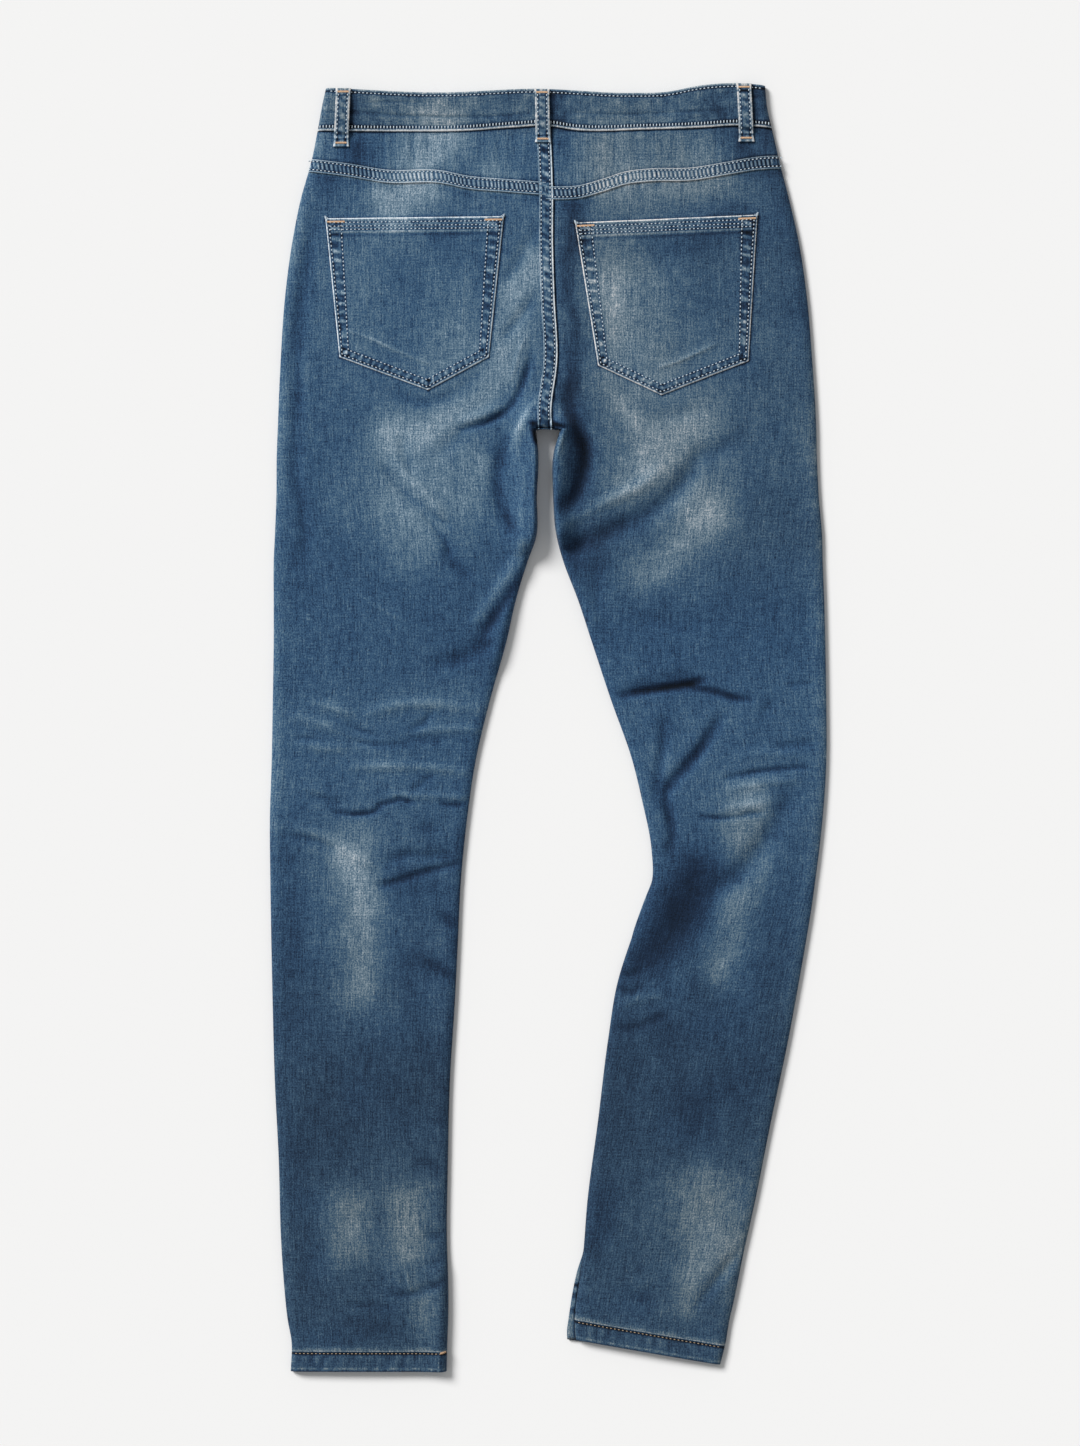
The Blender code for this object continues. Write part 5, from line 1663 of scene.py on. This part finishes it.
def loop_stitches(material):
    rows = []
    share = np.linspace(0.1, 0.9, 60)
    for loop in LOOPS:
        (top_x, top_y), (low_x, low_y) = loop.top, loop.bottom
        for t in (-LOOP_ROW, LOOP_ROW):
            x = top_x + share * (low_x - top_x) + t
            y = top_y + share * (low_y - top_y)
            z = loop_surface(loop, x, y, np.full(x.shape, t), share)[0] + 0.12
            rows.append(np.column_stack([x, y, z]))
    return stitches("stitches_loops", rows, material, "thread")


def bar_tacks(material):
    """Close thread bars at the pocket corners, at the left hem's inseam and at both ends of each loop."""
    rows = []

    def bar(start, end, thick, height):
        """One bar: short threads side by side, square to its length."""
        start, end = np.array(start, float), np.array(end, float)
        along = (end - start) / np.hypot(*(end - start))
        square = np.array([-along[1], along[0]]) * thick / 2
        for place in np.arange(0, np.hypot(*(end - start)), TACK_PITCH):
            middle = start + along * place
            ends = np.array([middle - square, middle + square])
            rows.append(np.column_stack([ends, height(ends[:, 0], ends[:, 1])]))

    for pocket in POCKETS:
        (left, left_y), (right, right_y) = pocket.left_top, pocket.right_top
        slope = (right_y - left_y) / (right - left)
        for (corner_x, corner_y), inward in ((pocket.left_top, 1), (pocket.right_top, -1)):
            start, end = (
                (corner_x + inward * reach, corner_y - 3.0 + inward * reach * slope) for reach in POCKET_TACK
            )
            bar(start, end, TACK_THICK, lambda px, py: pocket_surface(pocket, px, py)[0] + 0.25)
    y = LEFT_HEM_LINE - 1.4
    left, right = float(left_leg_side(y)), float(left_inseam(y))
    bar((right - 5.5, y), (right - 0.8, y + 0.8), 2.2, lambda px, py: hem_height(px, py, left, right) + 0.3)
    for loop in LOOPS:
        for share in LOOP_TACKS:
            x = loop.top[0] + share * (loop.bottom[0] - loop.top[0])
            y = loop.top[1] + share * (loop.bottom[1] - loop.top[1])

            def on_loop(px, py):
                return loop_surface(loop, px, py, px - x, np.full(px.shape, share))[0] + 0.2

            bar((x - 4.7, y), (x + 4.7, y), TACK_THICK, on_loop)
    return stitches("bar_tacks", rows, material, "tack_thread", pitch=3.0, length=1.7, width=0.5)


def frayed_tips(material):
    """Loose white threads at the upper corners of the pockets."""
    rows = []
    for pocket in POCKETS:
        for corner, inward in ((pocket.left_top, 1), (pocket.right_top, -1)):
            for tip in FRAYED:
                start = np.array([corner[0] + inward * tip.along, corner[1] - 1.0])
                end = start + np.array([-inward * 0.25 * tip.reach, 1.0 + tip.reach])
                z = pocket_surface(pocket, start[:1], start[1:])[0][0]
                rows.append(np.array([[*start, z + 0.1], [*end, z - 0.5]]))
    return stitches("frayed_tips", rows, material, "thread", pitch=9.0, length=3.4, width=0.55)


def finish_cad_nodes(brass):
    """The button keeps its solid."""
    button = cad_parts["button"]
    button.data.materials.clear()
    button.data.materials.append(brass)


def stage():
    """A pale floor, one soft lamp from the upper left, an even fill, and the camera overhead."""
    bpy.ops.mesh.primitive_plane_add(size=30.0, location=(0, 0, -0.0003))
    floor = bpy.context.object
    floor.name = "floor"
    pale_floor = {"Base Color": (*linear(FLOOR_COLOUR), 1.0), "Roughness": 0.95, "Metallic": 0.0}
    floor.data.materials.append(plain("floor", pale_floor)[0])

    lamp = bpy.data.lights.new("key", "SUN")
    lamp.energy = KEY
    lamp.angle = KEY_SIZE
    key = bpy.data.objects.new("key", lamp)
    key.location = KEY_FROM
    key.rotation_euler = key.location.to_track_quat("Z", "Y").to_euler()
    bpy.context.scene.collection.objects.link(key)

    world = bpy.data.worlds.new("fill")
    world.use_nodes = True
    light = {"Color": (0.97, 0.99, 1.0, 1.0), "Strength": FILL}
    set_inputs(world.node_tree, world.node_tree.nodes["Background"], light)
    bpy.context.scene.world = world

    lens = bpy.data.cameras.new("camera")
    lens.sensor_fit = "VERTICAL"
    lens.sensor_height = SENSOR
    lens.lens = SENSOR * CAMERA_HEIGHT / PHOTO_HEIGHT
    camera = bpy.data.objects.new("camera", lens)
    camera.location = (*PHOTO_MIDDLE, CAMERA_HEIGHT)
    bpy.context.scene.collection.objects.link(camera)
    bpy.context.scene.camera = camera
    bpy.context.scene.view_settings.view_transform = "Standard"


def build():
    cloth = denim("washed_denim")
    worn = denim("worn_denim", grain=0.7)
    thread = thread_material("thread", THREAD_COLOUR)
    tack = thread_material("tack_thread", TACK_COLOUR)
    hem_thread = thread_material("hem_thread", HEM_THREAD_COLOUR)
    brass = mottled("aged_brass", BRASS_COLOUR, 0.4, 2.2, 0.22, metallic=1.0, bump=0.05)
    for side, on_left in (("left", True), ("right", False)):
        front(side, on_left, cloth)
        back_panel(side, on_left, cloth)
        yoke(side, on_left, cloth)
        hem(side, on_left, cloth)
        yoke_seam(side, on_left, worn)
    waistband(cloth)
    seat_seam(worn)
    for pocket in POCKETS:
        patch_pocket(pocket, cloth)
        pocket_stitches(pocket, thread)
    for loop in LOOPS:
        belt_loop(loop, worn)
    band_stitches(thread)
    seam_stitches(thread)
    hem_stitches(hem_thread)
    loop_stitches(thread)
    bar_tacks(tack)
    frayed_tips(thread)
    finish_cad_nodes(brass)


build()
stage()
